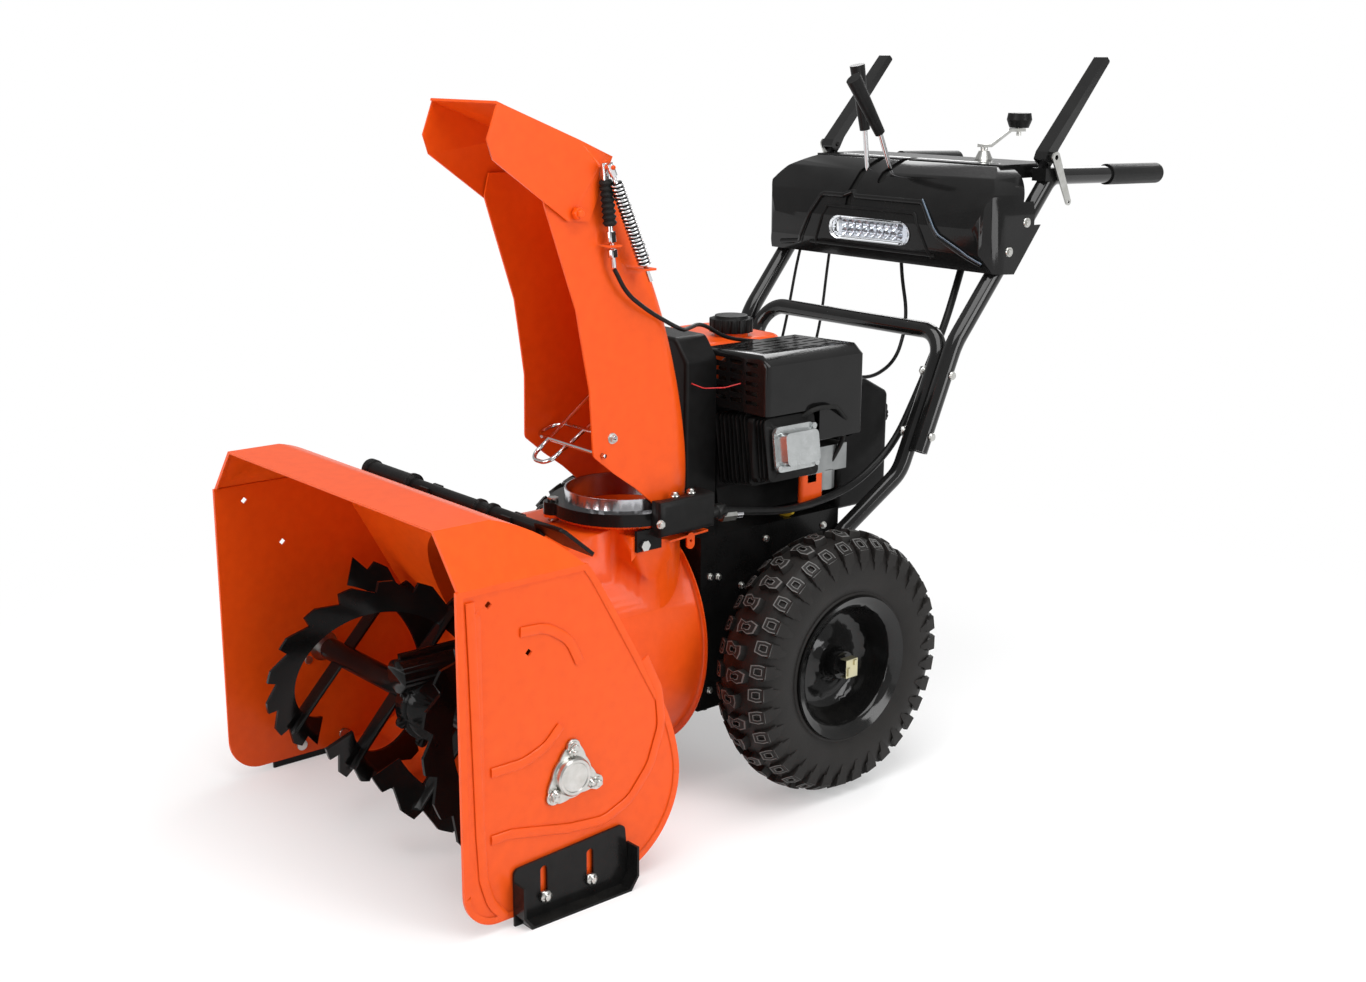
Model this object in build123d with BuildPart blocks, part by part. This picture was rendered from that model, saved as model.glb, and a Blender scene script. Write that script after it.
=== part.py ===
from build123d import *

import os
from math import cos, radians, sin, tan

# Two-stage walk-behind snow blower, built piece by piece.
# Frame: millimetres, +Z up, ground at Z = 0, the machine's left side is +X and its
# front (the auger opening) faces -Y.  The origin is on the ground at the middle of
# the bounding box.  Each section makes one piece or one group of like pieces.

os.makedirs("parts", exist_ok=True)

# ---------------------------------------------------------------- driving sizes
LENGTH = 1494.0                # housing's front edge to the ends of the grips
FRONT = -LENGTH / 2            # Y of the housing's front edge
SHEET = 3.0                    # pressed steel sheet
FIT = 0.05                     # radial running clearance of a shaft in its hole
SIDES = {"left": 1, "right": -1}

# auger housing
HOUSING_HALF = 320.0
HOUSING_TOP = 524.0
FOLD_Z = 456.0
TOP_HALF = 266.0
AUGER_Y = FRONT + 165.0
AUGER_Z = 180.0
AUGER_R = 150.0
SHAFT_R = 12.7                 # one inch shafting

# impeller drum and its outlet
IMPELLER_Z = 235.0
DRUM_R = 188.0
DRUM_REAR = FRONT + 505.0
DRUM_LENGTH = 345.0             # before it is trimmed to the housing's back
CHUTE_X = 90.0
CHUTE_Y = FRONT + 433.0
RING_R = 83.0
BASE_R = 103.0
BASE_Z = 439.0
BASE_TOP = 457.0
RING_TOP = 473.0

# tractor frame, engine deck and wheels
TUB_HALF = 165.0
TUB_FRONT = FRONT + 518.0
TUB_REAR = FRONT + 800.0
TUB_FLOOR = 130.0
DECK_Z = 395.0
BELT_Y = FRONT + 577.0
CRANK_Z = 490.0
AXLE_Y = FRONT + 686.0
AXLE_Z = 199.5
TYRE_X = 265.0
TREAD_R = 199.5
RIM_R = 103.0

# handlebar
TUBE_R = 14.0
TUBE_WALL = 2.0
GRIP_R = 16.0


# ================================================================ auger housing
# Side view of the housing: flat top, swept back, round belly about the auger axis.
def housing_profile(edge, floor):
    """Side view outline (Y, Z), `edge` mm inside the outermost outline."""
    with BuildSketch() as profile:
        with BuildLine():
            roof = Line((FRONT, HOUSING_TOP), (FRONT + 83, HOUSING_TOP))
            brow = TangentArc(roof @ 1, (FRONT + 214, 428), tangent=(1, -0.22))
            back = TangentArc(brow @ 1, (FRONT + 313, 252), tangent=brow % 1)
            heel = TangentArc(back @ 1, (FRONT + 345, 160), tangent=back % 1)
            belly = TangentArc(heel @ 1, (FRONT + 242, floor), tangent=heel % 1)
            toe = Line(belly @ 1, (FRONT + 50, floor))
            corner = TangentArc(toe @ 1, (FRONT, floor + 50), tangent=(-1, 0))
            Line(corner @ 1, roof @ 0)
        make_face()
        if edge:
            offset(amount=-edge)
    return profile.sketch


def housing_front(edge):
    """Front view outline (X, Z): upright sides with chamfered upper corners."""
    half = HOUSING_HALF - edge
    top_half = TOP_HALF - 0.5 * edge
    with BuildSketch() as front:
        Polygon((-half, 0), (half, 0), (half, FOLD_Z), (top_half, HOUSING_TOP - edge),
                (-top_half, HOUSING_TOP - edge), (-half, FOLD_Z), align=None)
    return front.sketch


PLATE_IN = HOUSING_HALF - 5.0          # inner face of a side plate
WRAP_EDGE = 3.0                        # the side plates stand this far past the wrap
MOUTH_R = DRUM_R - SHEET
LIP_Y = FRONT + 190.0                  # front edge of the wrap's bottom lip


def housing_body(edge, wall):
    """The solid between the side view and front view outlines."""
    with BuildPart() as body:
        with BuildSketch(Plane.YZ):
            add(housing_profile(edge, 12))
        extrude(amount=HOUSING_HALF, both=True)
        with BuildSketch(Plane.XZ):
            add(housing_front(wall))
        extrude(amount=LENGTH, both=True, mode=Mode.INTERSECT)
    return body.part


with BuildPart() as housing_wrap:
    add(housing_body(WRAP_EDGE, 0))
    add(housing_body(WRAP_EDGE + SHEET, SHEET), mode=Mode.SUBTRACT)
    # everything ahead of the room is the open mouth of the housing
    with BuildSketch(Plane.XZ.offset(-FRONT - 12)):
        Polygon((-PLATE_IN, 0), (PLATE_IN, 0), (PLATE_IN, FOLD_Z - 2), (TOP_HALF - 2, HOUSING_TOP - 6),
                (-TOP_HALF + 2, HOUSING_TOP - 6), (-PLATE_IN, FOLD_Z - 2), align=None)
    extrude(amount=40, both=True, mode=Mode.SUBTRACT)
    # the side plates take the place of the upright walls
    with Locations((0, 0, FOLD_Z / 2)):
        with GridLocations(2 * HOUSING_HALF, 1, 2, 1):
            Box(2 * (HOUSING_HALF - PLATE_IN), LENGTH, FOLD_Z, mode=Mode.SUBTRACT)
    with Locations((0, (FRONT + LIP_Y) / 2, 50)):
        Box(2 * HOUSING_HALF, LIP_Y - FRONT, 100, mode=Mode.SUBTRACT)
    with Locations(Plane.XZ.offset(-FRONT - 320) * Location((0, IMPELLER_Z, 0))):
        Cylinder(MOUTH_R, 300, mode=Mode.SUBTRACT)
housing_wrap.part.label = "housing_wrap"
export_step(housing_wrap.part, "parts/housing_wrap.step")

# Side plates: pressed sheet with a raised rim, a front bead, two square drift holes,
# the bearing hole and the bolt holes of the skid shoe.
DIAMONDS = [(FRONT + 46, 432.4), (FRONT + 104, 359)]
SKID_BOLTS_Y = (FRONT + 118, FRONT + 192)
SKID_BOLT_Z = 28.0
SLOT_Z = 45.0
CAP_PCR = 33.0                         # bolt circle radius of the bearing cap
BEARING_R = 24.0

with BuildPart() as side_plates:
    for sign in SIDES.values():
        with BuildSketch(Plane.YZ.offset(sign * PLATE_IN)):
            add(housing_profile(0, 12))
            with Locations((FRONT, FOLD_Z + 100)):
                Rectangle(1200, 200, mode=Mode.SUBTRACT)
        extrude(amount=sign * (HOUSING_HALF - PLATE_IN))
        # pressed field, 2 mm below the rim on the outside
        with BuildSketch(Plane.YZ.offset(sign * HOUSING_HALF)):
            add(housing_profile(9, 12))
            with Locations((FRONT, FOLD_Z + 92)):
                Rectangle(1200, 200, mode=Mode.SUBTRACT)
            with Locations((FRONT + 28, 250)):
                SlotOverall(350, 11, rotation=90, mode=Mode.SUBTRACT)
        extrude(amount=-2 * sign, mode=Mode.SUBTRACT)
        with BuildSketch(Plane.YZ.offset(sign * HOUSING_HALF)):
            with Locations(*DIAMONDS):
                Rectangle(7.5, 7.5, rotation=45)
            with Locations((AUGER_Y, AUGER_Z)):
                Circle(BEARING_R)
                with PolarLocations(CAP_PCR, 3, start_angle=90):
                    Circle(3.2)
            with Locations(*[(y, SKID_BOLT_Z) for y in SKID_BOLTS_Y]):
                Circle(4.2)
        extrude(amount=-10 * sign, mode=Mode.SUBTRACT)
side_plates.part.label = "side_plates"
export_step(side_plates.part, "parts/side_plates.step")

# Scraper bar: flat steel bolted under the wrap's bottom lip.
with BuildPart() as scraper_bar:
    with BuildSketch(Plane.YZ):
        Polygon((FRONT + 168, 3), (FRONT + 236, 3), (FRONT + 236, 8), (FRONT + 176, 8), align=None)
    extrude(amount=PLATE_IN - 1, both=True)
scraper_bar.part.label = "scraper_bar"
export_step(scraper_bar.part, "parts/scraper_bar.step")

# Skid shoes: bent plates with two upright slots, a sole and turned-out ends.
SHOE_FRONT = FRONT + 72.0
SHOE_REAR = FRONT + 258.0
SHOE_TOP = 88.0
SHOE_OUT = HOUSING_HALF + 24.0
SHOE_SHEET = 3.5

with BuildPart() as skid_shoes:
    for sign in SIDES.values():
        mid_y = (SHOE_FRONT + SHOE_REAR) / 2
        mid_x = sign * (HOUSING_HALF + SHOE_OUT) / 2
        with BuildSketch(Plane.YZ.offset(sign * HOUSING_HALF)):
            with BuildLine():
                FilletPolyline((SHOE_FRONT, 0), (SHOE_FRONT, SHOE_TOP - 10), (SHOE_REAR - 8, SHOE_TOP),
                               (SHOE_REAR, 0), radius=9, close=False)
                Line((SHOE_REAR, 0), (SHOE_FRONT, 0))
            make_face()
            with Locations(*[(y, SLOT_Z) for y in SKID_BOLTS_Y]):
                SlotOverall(50, 11, rotation=90, mode=Mode.SUBTRACT)
        extrude(amount=sign * SHOE_SHEET)
        with Locations((mid_x, mid_y, SHOE_SHEET / 2)):
            Box(SHOE_OUT - HOUSING_HALF, SHOE_REAR - SHOE_FRONT - 24, SHOE_SHEET)
        # both ends of the sole turn up and stand out like runners
        for end, lean in ((SHOE_FRONT, 1), (SHOE_REAR, -1)):
            with BuildSketch(Plane.YZ.offset(sign * HOUSING_HALF)):
                Polygon((end + 13 * lean, 0), (end, 18), (end, 60), (end + SHOE_SHEET * lean, 60),
                        (end + SHOE_SHEET * lean, 19), (end + 16 * lean, SHOE_SHEET), align=None)
            extrude(amount=sign * (SHOE_OUT - HOUSING_HALF))
skid_shoes.part.label = "skid_shoes"
export_step(skid_shoes.part, "parts/skid_shoes.step")

# Bearing caps: three-eared flange with a round cap over each end of the auger shaft,
# and a bush behind it that fills the hole in the side plate.
CAP_IN = HOUSING_HALF - 2.0
with BuildPart() as bearing_caps:
    for sign in SIDES.values():
        with BuildSketch(Plane.YZ.offset(sign * CAP_IN)):
            with Locations((AUGER_Y, AUGER_Z)):
                with PolarLocations(CAP_PCR, 3, start_angle=90):
                    Circle(10)
                Circle(29)
            make_hull()
        extrude(amount=sign * 4)
        with BuildSketch(Plane.YZ.offset(sign * (CAP_IN + 4))):
            with Locations((AUGER_Y, AUGER_Z)):
                Circle(25)
        extrude(amount=sign * 9, taper=12)
        with BuildSketch(Plane.YZ.offset(sign * CAP_IN)):
            with Locations((AUGER_Y, AUGER_Z)):
                Circle(BEARING_R)
        extrude(amount=-sign * 14)
        with BuildSketch(Plane.YZ.offset(sign * (CAP_IN - 14))):
            with Locations((AUGER_Y, AUGER_Z)):
                Circle(SHAFT_R + FIT)
        extrude(amount=sign * 22, mode=Mode.SUBTRACT)
        with BuildSketch(Plane.YZ.offset(sign * CAP_IN)):
            with Locations((AUGER_Y, AUGER_Z)):
                with PolarLocations(CAP_PCR, 3, start_angle=90):
                    Circle(3.2)
        extrude(amount=sign * 4, mode=Mode.SUBTRACT)
bearing_caps.part.label = "bearing_caps"
export_step(bearing_caps.part, "parts/bearing_caps.step")

# Housing bolts: round-headed bolts from inside with hexagon nuts outside, one for each
# bearing cap ear and each skid slot.
with BuildPart() as housing_bolts:
    for sign in SIDES.values():
        for radius, nut_r, seat, spots in (
                (3.2, 6.6, CAP_IN + 4,
                 [(AUGER_Y + CAP_PCR * cos(radians(90 + 120 * k)),
                   AUGER_Z + CAP_PCR * sin(radians(90 + 120 * k))) for k in range(3)]),
                (4.2, 9.0, HOUSING_HALF + SHOE_SHEET, [(y, SKID_BOLT_Z) for y in SKID_BOLTS_Y])):
            with BuildSketch(Plane.YZ.offset(sign * seat)):
                with Locations(*spots):
                    RegularPolygon(nut_r, 6)
            extrude(amount=sign * 6)
            with BuildSketch(Plane.YZ.offset(sign * (PLATE_IN - 3))):
                with Locations(*spots):
                    Circle(radius)
            extrude(amount=sign * (seat + 9 - PLATE_IN + 3))
            with BuildSketch(Plane.YZ.offset(sign * PLATE_IN)):
                with Locations(*spots):
                    Circle(2 * radius)
            extrude(amount=-sign * 3)
housing_bolts.part.label = "housing_bolts"
export_step(housing_bolts.part, "parts/housing_bolts.step")

# Impeller housing: drum welded behind the mouth, rear wall with the bearing hole,
# neck up to the chute flange and the near-side bracket for the chute gear case.
HUB_BEARING_R = 26.0
NECK_R = RING_R
FLANGE_SHEET = 4.0
BRACKET_X = CHUTE_X + NECK_R + 6.0      # outer face of the gear case bracket
LUG_ANGLES = (-115, 60, 125)           # chute flange lugs, about the chute's axis
LUG_PCR = BASE_R - 2.0

with BuildPart() as impeller_housing:
    with BuildSketch(Plane.XZ.offset(-DRUM_REAR)):
        with Locations((0, IMPELLER_Z)):
            Circle(DRUM_R)
    extrude(amount=DRUM_LENGTH)
    with BuildSketch(Plane.XY.offset(IMPELLER_Z)):
        with Locations((CHUTE_X, CHUTE_Y)):
            Circle(NECK_R)
    extrude(amount=BASE_Z - IMPELLER_Z)
    # shoulder that closes the corner between the wrap's back and the neck
    with BuildSketch(Plane.YZ.offset(-10)):
        Polygon((FRONT + 200, 380), (FRONT + 330, 425), (CHUTE_Y, BASE_Z - 2), (CHUTE_Y, 330),
                (FRONT + 200, 330), align=None)
    extrude(amount=CHUTE_X + NECK_R - 20)
    add(housing_body(WRAP_EDGE, 0), mode=Mode.SUBTRACT)
    with BuildSketch(Plane.XZ.offset(-DRUM_REAR + SHEET)):
        with Locations((0, IMPELLER_Z)):
            Circle(MOUTH_R)
    extrude(amount=DRUM_LENGTH, mode=Mode.SUBTRACT)
    with BuildSketch(Plane.XY.offset(IMPELLER_Z)):
        with Locations((CHUTE_X, CHUTE_Y)):
            Circle(NECK_R - SHEET)
    extrude(amount=BASE_Z - IMPELLER_Z, mode=Mode.SUBTRACT)
    # rear rim of the drum
    with BuildSketch(Plane.XZ.offset(-DRUM_REAR)):
        with Locations((0, IMPELLER_Z)):
            Circle(DRUM_R + 9)
    extrude(amount=SHEET)
    with Locations(Plane.XZ.offset(-DRUM_REAR) * Location((0, IMPELLER_Z, 0))):
        Cylinder(HUB_BEARING_R, 20, mode=Mode.SUBTRACT)
    # chute flange with three lugs
    with BuildSketch(Plane.XY.offset(BASE_Z - FLANGE_SHEET)):
        with Locations((CHUTE_X, CHUTE_Y)):
            Circle(BASE_R - 4)
            for angle in LUG_ANGLES:
                with PolarLocations(LUG_PCR, 1, start_angle=angle):
                    Circle(14)
        with Locations((CHUTE_X, CHUTE_Y)):
            Circle(NECK_R - SHEET, mode=Mode.SUBTRACT)
            for angle in LUG_ANGLES:
                with PolarLocations(LUG_PCR, 1, start_angle=angle):
                    Circle(4.2, mode=Mode.SUBTRACT)
    extrude(amount=FLANGE_SHEET)
    # folded bracket beside the neck, with a shelf and a cable tab
    with BuildSketch(Plane.YZ.offset(BRACKET_X)):
        Polygon((FRONT + 378, 390), (FRONT + 412, 356), (FRONT + 452, 384), (FRONT + 452, 411),
                (FRONT + 378, 425), align=None)
        with Locations((FRONT + 396, 412)):
            Circle(4.2, mode=Mode.SUBTRACT)
    extrude(amount=-BRACKET_X + CHUTE_X + NECK_R * 0.7)
    with BuildSketch(Plane.YZ.offset(BRACKET_X - 30)):
        Polygon((FRONT + 440, 408), (FRONT + 512, 412), (FRONT + 512, 415), (FRONT + 440, 411), align=None)
    extrude(amount=38)
    with BuildSketch(Plane.YZ.offset(BRACKET_X + 5)):
        with Locations((FRONT + 480, 404)):
            SlotOverall(24, 14, rotation=90)
            Circle(2.2, mode=Mode.SUBTRACT)
    extrude(amount=SHEET)
    with BuildSketch(Plane.XY.offset(200)):
        with Locations((CHUTE_X, CHUTE_Y)):
            Circle(NECK_R - SHEET)
    extrude(amount=BASE_Z, mode=Mode.SUBTRACT)
impeller_housing.part.label = "impeller_housing"
export_step(impeller_housing.part, "parts/impeller_housing.step")

# ================================================================ auger and its drive
HUB_R = 17.0                           # auger tube over the shaft
FLIGHT_IN = 50.0                       # inner end of each auger, from the centre line
FLIGHT_OUT = 296.0
RIBBON_IN = 62.0                       # where the ribbons start and end
RIBBON_OUT = 284.0
RIBBON_WIDTH = 46.0
RIBBON_SHEET = 5.0
TEETH = 11                             # ratchet teeth along the edge of one ribbon
TOOTH = 16.0
TURN = 235.0                           # degrees that one ribbon winds
SHEAR_X = 70.0

WHEEL_R = 40.0                         # bronze worm wheel pressed on the shaft's middle
WORM_R = 11.0

with BuildPart() as auger_shaft:
    with Locations(Plane.YZ * Location((AUGER_Y, AUGER_Z, 0))):
        Cylinder(SHAFT_R, 2 * (CAP_IN + 2))
        Cylinder(22, 40)
    with BuildSketch(Plane.YZ.offset(-9)):
        with Locations((AUGER_Y, AUGER_Z)):
            Circle(WHEEL_R)
            with PolarLocations(WHEEL_R, 20):
                Circle(2.6, mode=Mode.SUBTRACT)
    extrude(amount=18)
    with Locations((SHEAR_X, AUGER_Y, AUGER_Z), (-SHEAR_X, AUGER_Y, AUGER_Z)):
        Cylinder(3.2, 60, mode=Mode.SUBTRACT)
auger_shaft.part.label = "auger_shaft"
export_step(auger_shaft.part, "parts/auger_shaft.step")


def ribbon(left_hand):
    """Serrated ribbon winding round the local Z axis, with two arms to the tube."""
    mean_r = AUGER_R - RIBBON_WIDTH / 2
    rise = RIBBON_OUT - RIBBON_IN
    hand = -1 if left_hand else 1
    with BuildPart() as flight:
        with BuildLine() as path:
            Helix(pitch=rise * 360 / TURN, height=rise, radius=mean_r, lefthand=left_hand)
        with BuildSketch(Plane(path.line @ 0, x_dir=(1, 0, 0), z_dir=path.line % 0)):
            Rectangle(RIBBON_WIDTH, RIBBON_SHEET)
        sweep(path=path.line, is_frenet=True)
        for k in range(TEETH):
            share = (k + 0.5) / TEETH
            turn = hand * TURN * share
            with BuildSketch(Plane(Location((0, 0, rise * share - 30), (0, 0, turn)))):
                Polygon((AUGER_R - TOOTH, 0), (AUGER_R + 3, -6 * hand), (AUGER_R + 3, 46 * hand), align=None)
            extrude(amount=60, mode=Mode.SUBTRACT)
        for share in (0.12, 0.88):
            turn = hand * TURN * share
            with Locations(Location((0, 0, rise * share), (0, 0, turn)) * Location((mean_r / 2 + 10, 0, 0))):
                Box(mean_r - 4, RIBBON_SHEET, 26)
    return flight.part


for side, sign in SIDES.items():
    flight = ribbon(sign < 0)
    with BuildPart() as auger:
        with BuildSketch(Plane.YZ.offset(sign * FLIGHT_IN)):
            with Locations((AUGER_Y, AUGER_Z)):
                Circle(HUB_R)
        extrude(amount=sign * (FLIGHT_OUT - FLIGHT_IN))
        for start in (20, 200):
            heading = (0, cos(radians(start)), sin(radians(start)))
            with Locations(Plane((sign * RIBBON_IN, AUGER_Y, AUGER_Z), x_dir=heading, z_dir=(sign, 0, 0))):
                add(flight)
        with BuildSketch(Plane.YZ.offset(sign * (FLIGHT_IN - 1))):
            with Locations((AUGER_Y, AUGER_Z)):
                Circle(SHAFT_R)
        extrude(amount=sign * (FLIGHT_OUT - FLIGHT_IN + 2), mode=Mode.SUBTRACT)
        with Locations((sign * SHEAR_X, AUGER_Y, AUGER_Z)):
            Cylinder(3.2, 60, mode=Mode.SUBTRACT)
    auger.part.label = f"{side}_auger"
    export_step(auger.part, f"parts/{side}_auger.step")

# Shear bolts: one through each auger tube and the shaft.
with BuildPart() as shear_bolts:
    for sign in SIDES.values():
        centre = (sign * SHEAR_X, AUGER_Y, AUGER_Z)
        for seat, height in ((HUB_R, 5), (-HUB_R, -5)):
            with BuildSketch(Plane((sign * SHEAR_X, AUGER_Y, AUGER_Z + seat))):
                RegularPolygon(6, 6)
            extrude(amount=height)
        with Locations(centre):
            Cylinder(3.2, 2 * HUB_R + 12)
shear_bolts.part.label = "shear_bolts"
export_step(shear_bolts.part, "parts/shear_bolts.step")

# Auger gearbox: cast case split down the middle, a round wheel case below and a worm
# tube above it, ear bolts round the joint.
CASE_HALF = 24.0
BOSS_HALF = 44.0
WORM_FRONT = AUGER_Y - 60.0
WORM_REAR = AUGER_Y + 88.0
with BuildPart() as auger_gearbox:
    with Locations(Plane.YZ * Location((AUGER_Y, AUGER_Z, 0))):
        Cylinder(WHEEL_R + 10, 2 * CASE_HALF)
        Cylinder(27, 2 * BOSS_HALF)
    with BuildSketch(Plane.XZ.offset(-WORM_REAR)):
        with Locations((0, IMPELLER_Z)):
            Circle(24)
    extrude(amount=WORM_REAR - WORM_FRONT)
    # joint flange with its bolt ears
    with BuildSketch(Plane.YZ.offset(-4)):
        with Locations((AUGER_Y, AUGER_Z)):
            Circle(WHEEL_R + 15)
        with Locations(((WORM_FRONT + WORM_REAR) / 2, IMPELLER_Z)):
            Rectangle(WORM_REAR - WORM_FRONT - 10, 62)
        with Locations((AUGER_Y, AUGER_Z)):
            with PolarLocations(WHEEL_R + 16, 4, start_angle=195, angular_range=150, endpoint=True):
                Circle(8)
    extrude(amount=8)
    # room for the wheel and the worm, and the four shaft holes
    with Locations(Plane.YZ * Location((AUGER_Y, AUGER_Z, 0))):
        Cylinder(WHEEL_R + 3, 22, mode=Mode.SUBTRACT)
        Cylinder(24, 44, mode=Mode.SUBTRACT)
        Cylinder(SHAFT_R + FIT, 2 * BOSS_HALF + 2, mode=Mode.SUBTRACT)
    with BuildSketch(Plane.XZ.offset(-WORM_REAR + 8)):
        with Locations((0, IMPELLER_Z)):
            Circle(WORM_R + 4)
    extrude(amount=WORM_REAR - WORM_FRONT - 16, mode=Mode.SUBTRACT)
    with BuildSketch(Plane.XZ.offset(-WORM_REAR)):
        with Locations((0, IMPELLER_Z)):
            Circle(WORM_R + FIT)
    extrude(amount=WORM_REAR - WORM_FRONT - 4, mode=Mode.SUBTRACT)
auger_gearbox.part.label = "auger_gearbox"
export_step(auger_gearbox.part, "parts/auger_gearbox.step")

# Impeller shaft: worm end in the gearbox, thick middle, pulley end behind the drum.
PULLEY_SHAFT_END = BELT_Y + 22.0
with BuildPart() as impeller_shaft:
    for start, end, radius in ((WORM_FRONT + 5, WORM_REAR + 4, WORM_R), (WORM_REAR + 4, PULLEY_SHAFT_END, SHAFT_R)):
        with BuildSketch(Plane.XZ.offset(-start)):
            with Locations((0, IMPELLER_Z)):
                Circle(radius)
        extrude(amount=start - end)
impeller_shaft.part.label = "impeller_shaft"
export_step(impeller_shaft.part, "parts/impeller_shaft.step")

# Impeller: hub tube with four bent throwing blades braced by a back disc.
BLADE_FRONT = FRONT + 352.0
BLADE_REAR = FRONT + 462.0
IMPELLER_R = DRUM_R - 12.0
with BuildPart() as impeller:
    with BuildSketch(Plane.XZ.offset(-BLADE_REAR)):
        with Locations((0, IMPELLER_Z)):
            Circle(SHAFT_R + 6)
    extrude(amount=BLADE_REAR - BLADE_FRONT)
    for angle in (25, 115, 205, 295):
        blade_plane = Plane((0, BLADE_REAR, IMPELLER_Z), x_dir=(cos(radians(angle)), 0, sin(radians(angle))),
                            z_dir=(0, -1, 0))
        with BuildSketch(blade_plane):
            Polygon((8, -2.5), (IMPELLER_R - 22, -2.5), (IMPELLER_R - 4, 10), (IMPELLER_R - 7, 13),
                    (IMPELLER_R - 24, 2.5), (8, 2.5), align=None)
        extrude(amount=BLADE_REAR - BLADE_FRONT)
    with BuildSketch(Plane.XZ.offset(-BLADE_REAR)):
        with Locations((0, IMPELLER_Z)):
            Circle(IMPELLER_R * 0.6)
    extrude(amount=4)
    with BuildSketch(Plane.XZ.offset(-BLADE_REAR - 5)):
        with Locations((0, IMPELLER_Z)):
            Circle(SHAFT_R)
    extrude(amount=BLADE_REAR - BLADE_FRONT + 10, mode=Mode.SUBTRACT)
impeller.part.label = "impeller"
export_step(impeller.part, "parts/impeller.step")


# V-belt pulleys: two grooves each, the big one on the impeller shaft.
def pulley_face(radius, bore, width, depth, grooves):
    """Half section of a V pulley in local (radius, length) coordinates."""
    pitch = width / grooves
    points = [(bore, -width / 2), (radius, -width / 2)]
    for k in range(grooves):
        low = -width / 2 + k * pitch
        points += [(radius, low + 2), (radius - depth, low + pitch / 2 - 2),
                   (radius - depth, low + pitch / 2 + 2), (radius, low + pitch - 2)]
    points += [(radius, width / 2), (bore, width / 2)]
    return points


IMPELLER_PULLEY_R = 92.0
ENGINE_PULLEY_R = 38.0
PULLEY_WIDTH = 30.0
GROOVE = 9.0
with BuildPart() as impeller_pulley:
    with BuildSketch(Plane((0, BELT_Y, IMPELLER_Z), x_dir=(1, 0, 0), z_dir=(0, 0, 1))):
        Polygon(*pulley_face(IMPELLER_PULLEY_R, SHAFT_R, PULLEY_WIDTH, GROOVE, 2), align=None)
    revolve(axis=Axis((0, BELT_Y, IMPELLER_Z), (0, 1, 0)))
    with BuildSketch(Plane.XZ.offset(-BELT_Y - PULLEY_WIDTH / 2)):
        with Locations((0, IMPELLER_Z)):
            with PolarLocations(52, 5):
                Circle(15)
    extrude(amount=PULLEY_WIDTH, mode=Mode.SUBTRACT)
impeller_pulley.part.label = "impeller_pulley"
export_step(impeller_pulley.part, "parts/impeller_pulley.step")

# ================================================================ tractor frame
# Frame: folded black sheet box, open below, engine deck on top with a belt slot, two
# axle holes and the hole of the impeller shaft.
BELT_SLOT = (150.0, 48.0)
FOOT_BOLTS = [(FRONT + 720, 293.2), (FRONT + 780, 344.8)]
with BuildPart() as frame_tub:
    with BuildSketch(Plane.YZ):
        Polygon((TUB_FRONT, TUB_FLOOR), (TUB_REAR - 40, TUB_FLOOR), (TUB_REAR, TUB_FLOOR + 60),
                (TUB_REAR, DECK_Z), (TUB_FRONT, DECK_Z), align=None)
    extrude(amount=TUB_HALF, both=True)
    with BuildSketch(Plane.YZ):
        Polygon((TUB_FRONT + SHEET, TUB_FLOOR - 5), (TUB_REAR - 40 - SHEET, TUB_FLOOR - 5),
                (TUB_REAR - 40 - SHEET, TUB_FLOOR), (TUB_REAR - SHEET, TUB_FLOOR + 60),
                (TUB_REAR - SHEET, DECK_Z - SHEET), (TUB_FRONT + SHEET, DECK_Z - SHEET), align=None)
    extrude(amount=TUB_HALF - SHEET, both=True, mode=Mode.SUBTRACT)
    with Locations((0, BELT_Y, DECK_Z)):
        Box(BELT_SLOT[0], BELT_SLOT[1], 20, mode=Mode.SUBTRACT)
    with Locations(Plane.YZ * Location((AXLE_Y, AXLE_Z, 0))):
        Cylinder(19, 2 * TUB_HALF + 10, mode=Mode.SUBTRACT)
    with Locations(Plane.XZ.offset(-TUB_FRONT) * Location((0, IMPELLER_Z, 0))):
        Cylinder(HUB_BEARING_R, 20, mode=Mode.SUBTRACT)
    with Locations(*[Plane.YZ * Location((y, z, 0)) for y, z in FOOT_BOLTS]):
        Cylinder(4, 2 * TUB_HALF + 10, mode=Mode.SUBTRACT)
frame_tub.part.label = "frame_tub"
export_step(frame_tub.part, "parts/frame_tub.step")

# Bottom cover: flat sheet screwed under the frame.
with BuildPart() as frame_cover:
    with Locations((0, (TUB_FRONT + TUB_REAR - 40) / 2, TUB_FLOOR - 1.5)):
        Box(2 * TUB_HALF - 8, TUB_REAR - 40 - TUB_FRONT, 3)
        with GridLocations(2 * TUB_HALF - 30, 200, 2, 2):
            with Locations((0, 0, -3.5)):
                Cylinder(6, 4)
frame_cover.part.label = "frame_cover"
export_step(frame_cover.part, "parts/frame_cover.step")

# Shaft bearings: flanged bushes of the impeller shaft and of the axle.
with BuildPart() as shaft_bearings:
    for start, length, radius in ((DRUM_REAR - 6, 34, HUB_BEARING_R),):
        with BuildSketch(Plane.XZ.offset(-start)):
            with Locations((0, IMPELLER_Z)):
                Circle(radius)
                Circle(SHAFT_R + FIT, mode=Mode.SUBTRACT)
        extrude(amount=-length)
    for sign in SIDES.values():
        for offset_x, radius, length in ((TUB_HALF - 8, 19, 14), (TUB_HALF, 30, 5)):
            with BuildSketch(Plane.YZ.offset(sign * offset_x)):
                with Locations((AXLE_Y, AXLE_Z)):
                    Circle(radius)
            extrude(amount=sign * length)
        with BuildSketch(Plane.YZ.offset(sign * (TUB_HALF - 10))):
            with Locations((AXLE_Y, AXLE_Z)):
                Circle(SHAFT_R + FIT)
        extrude(amount=sign * 24, mode=Mode.SUBTRACT)
shaft_bearings.part.label = "shaft_bearings"
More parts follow.
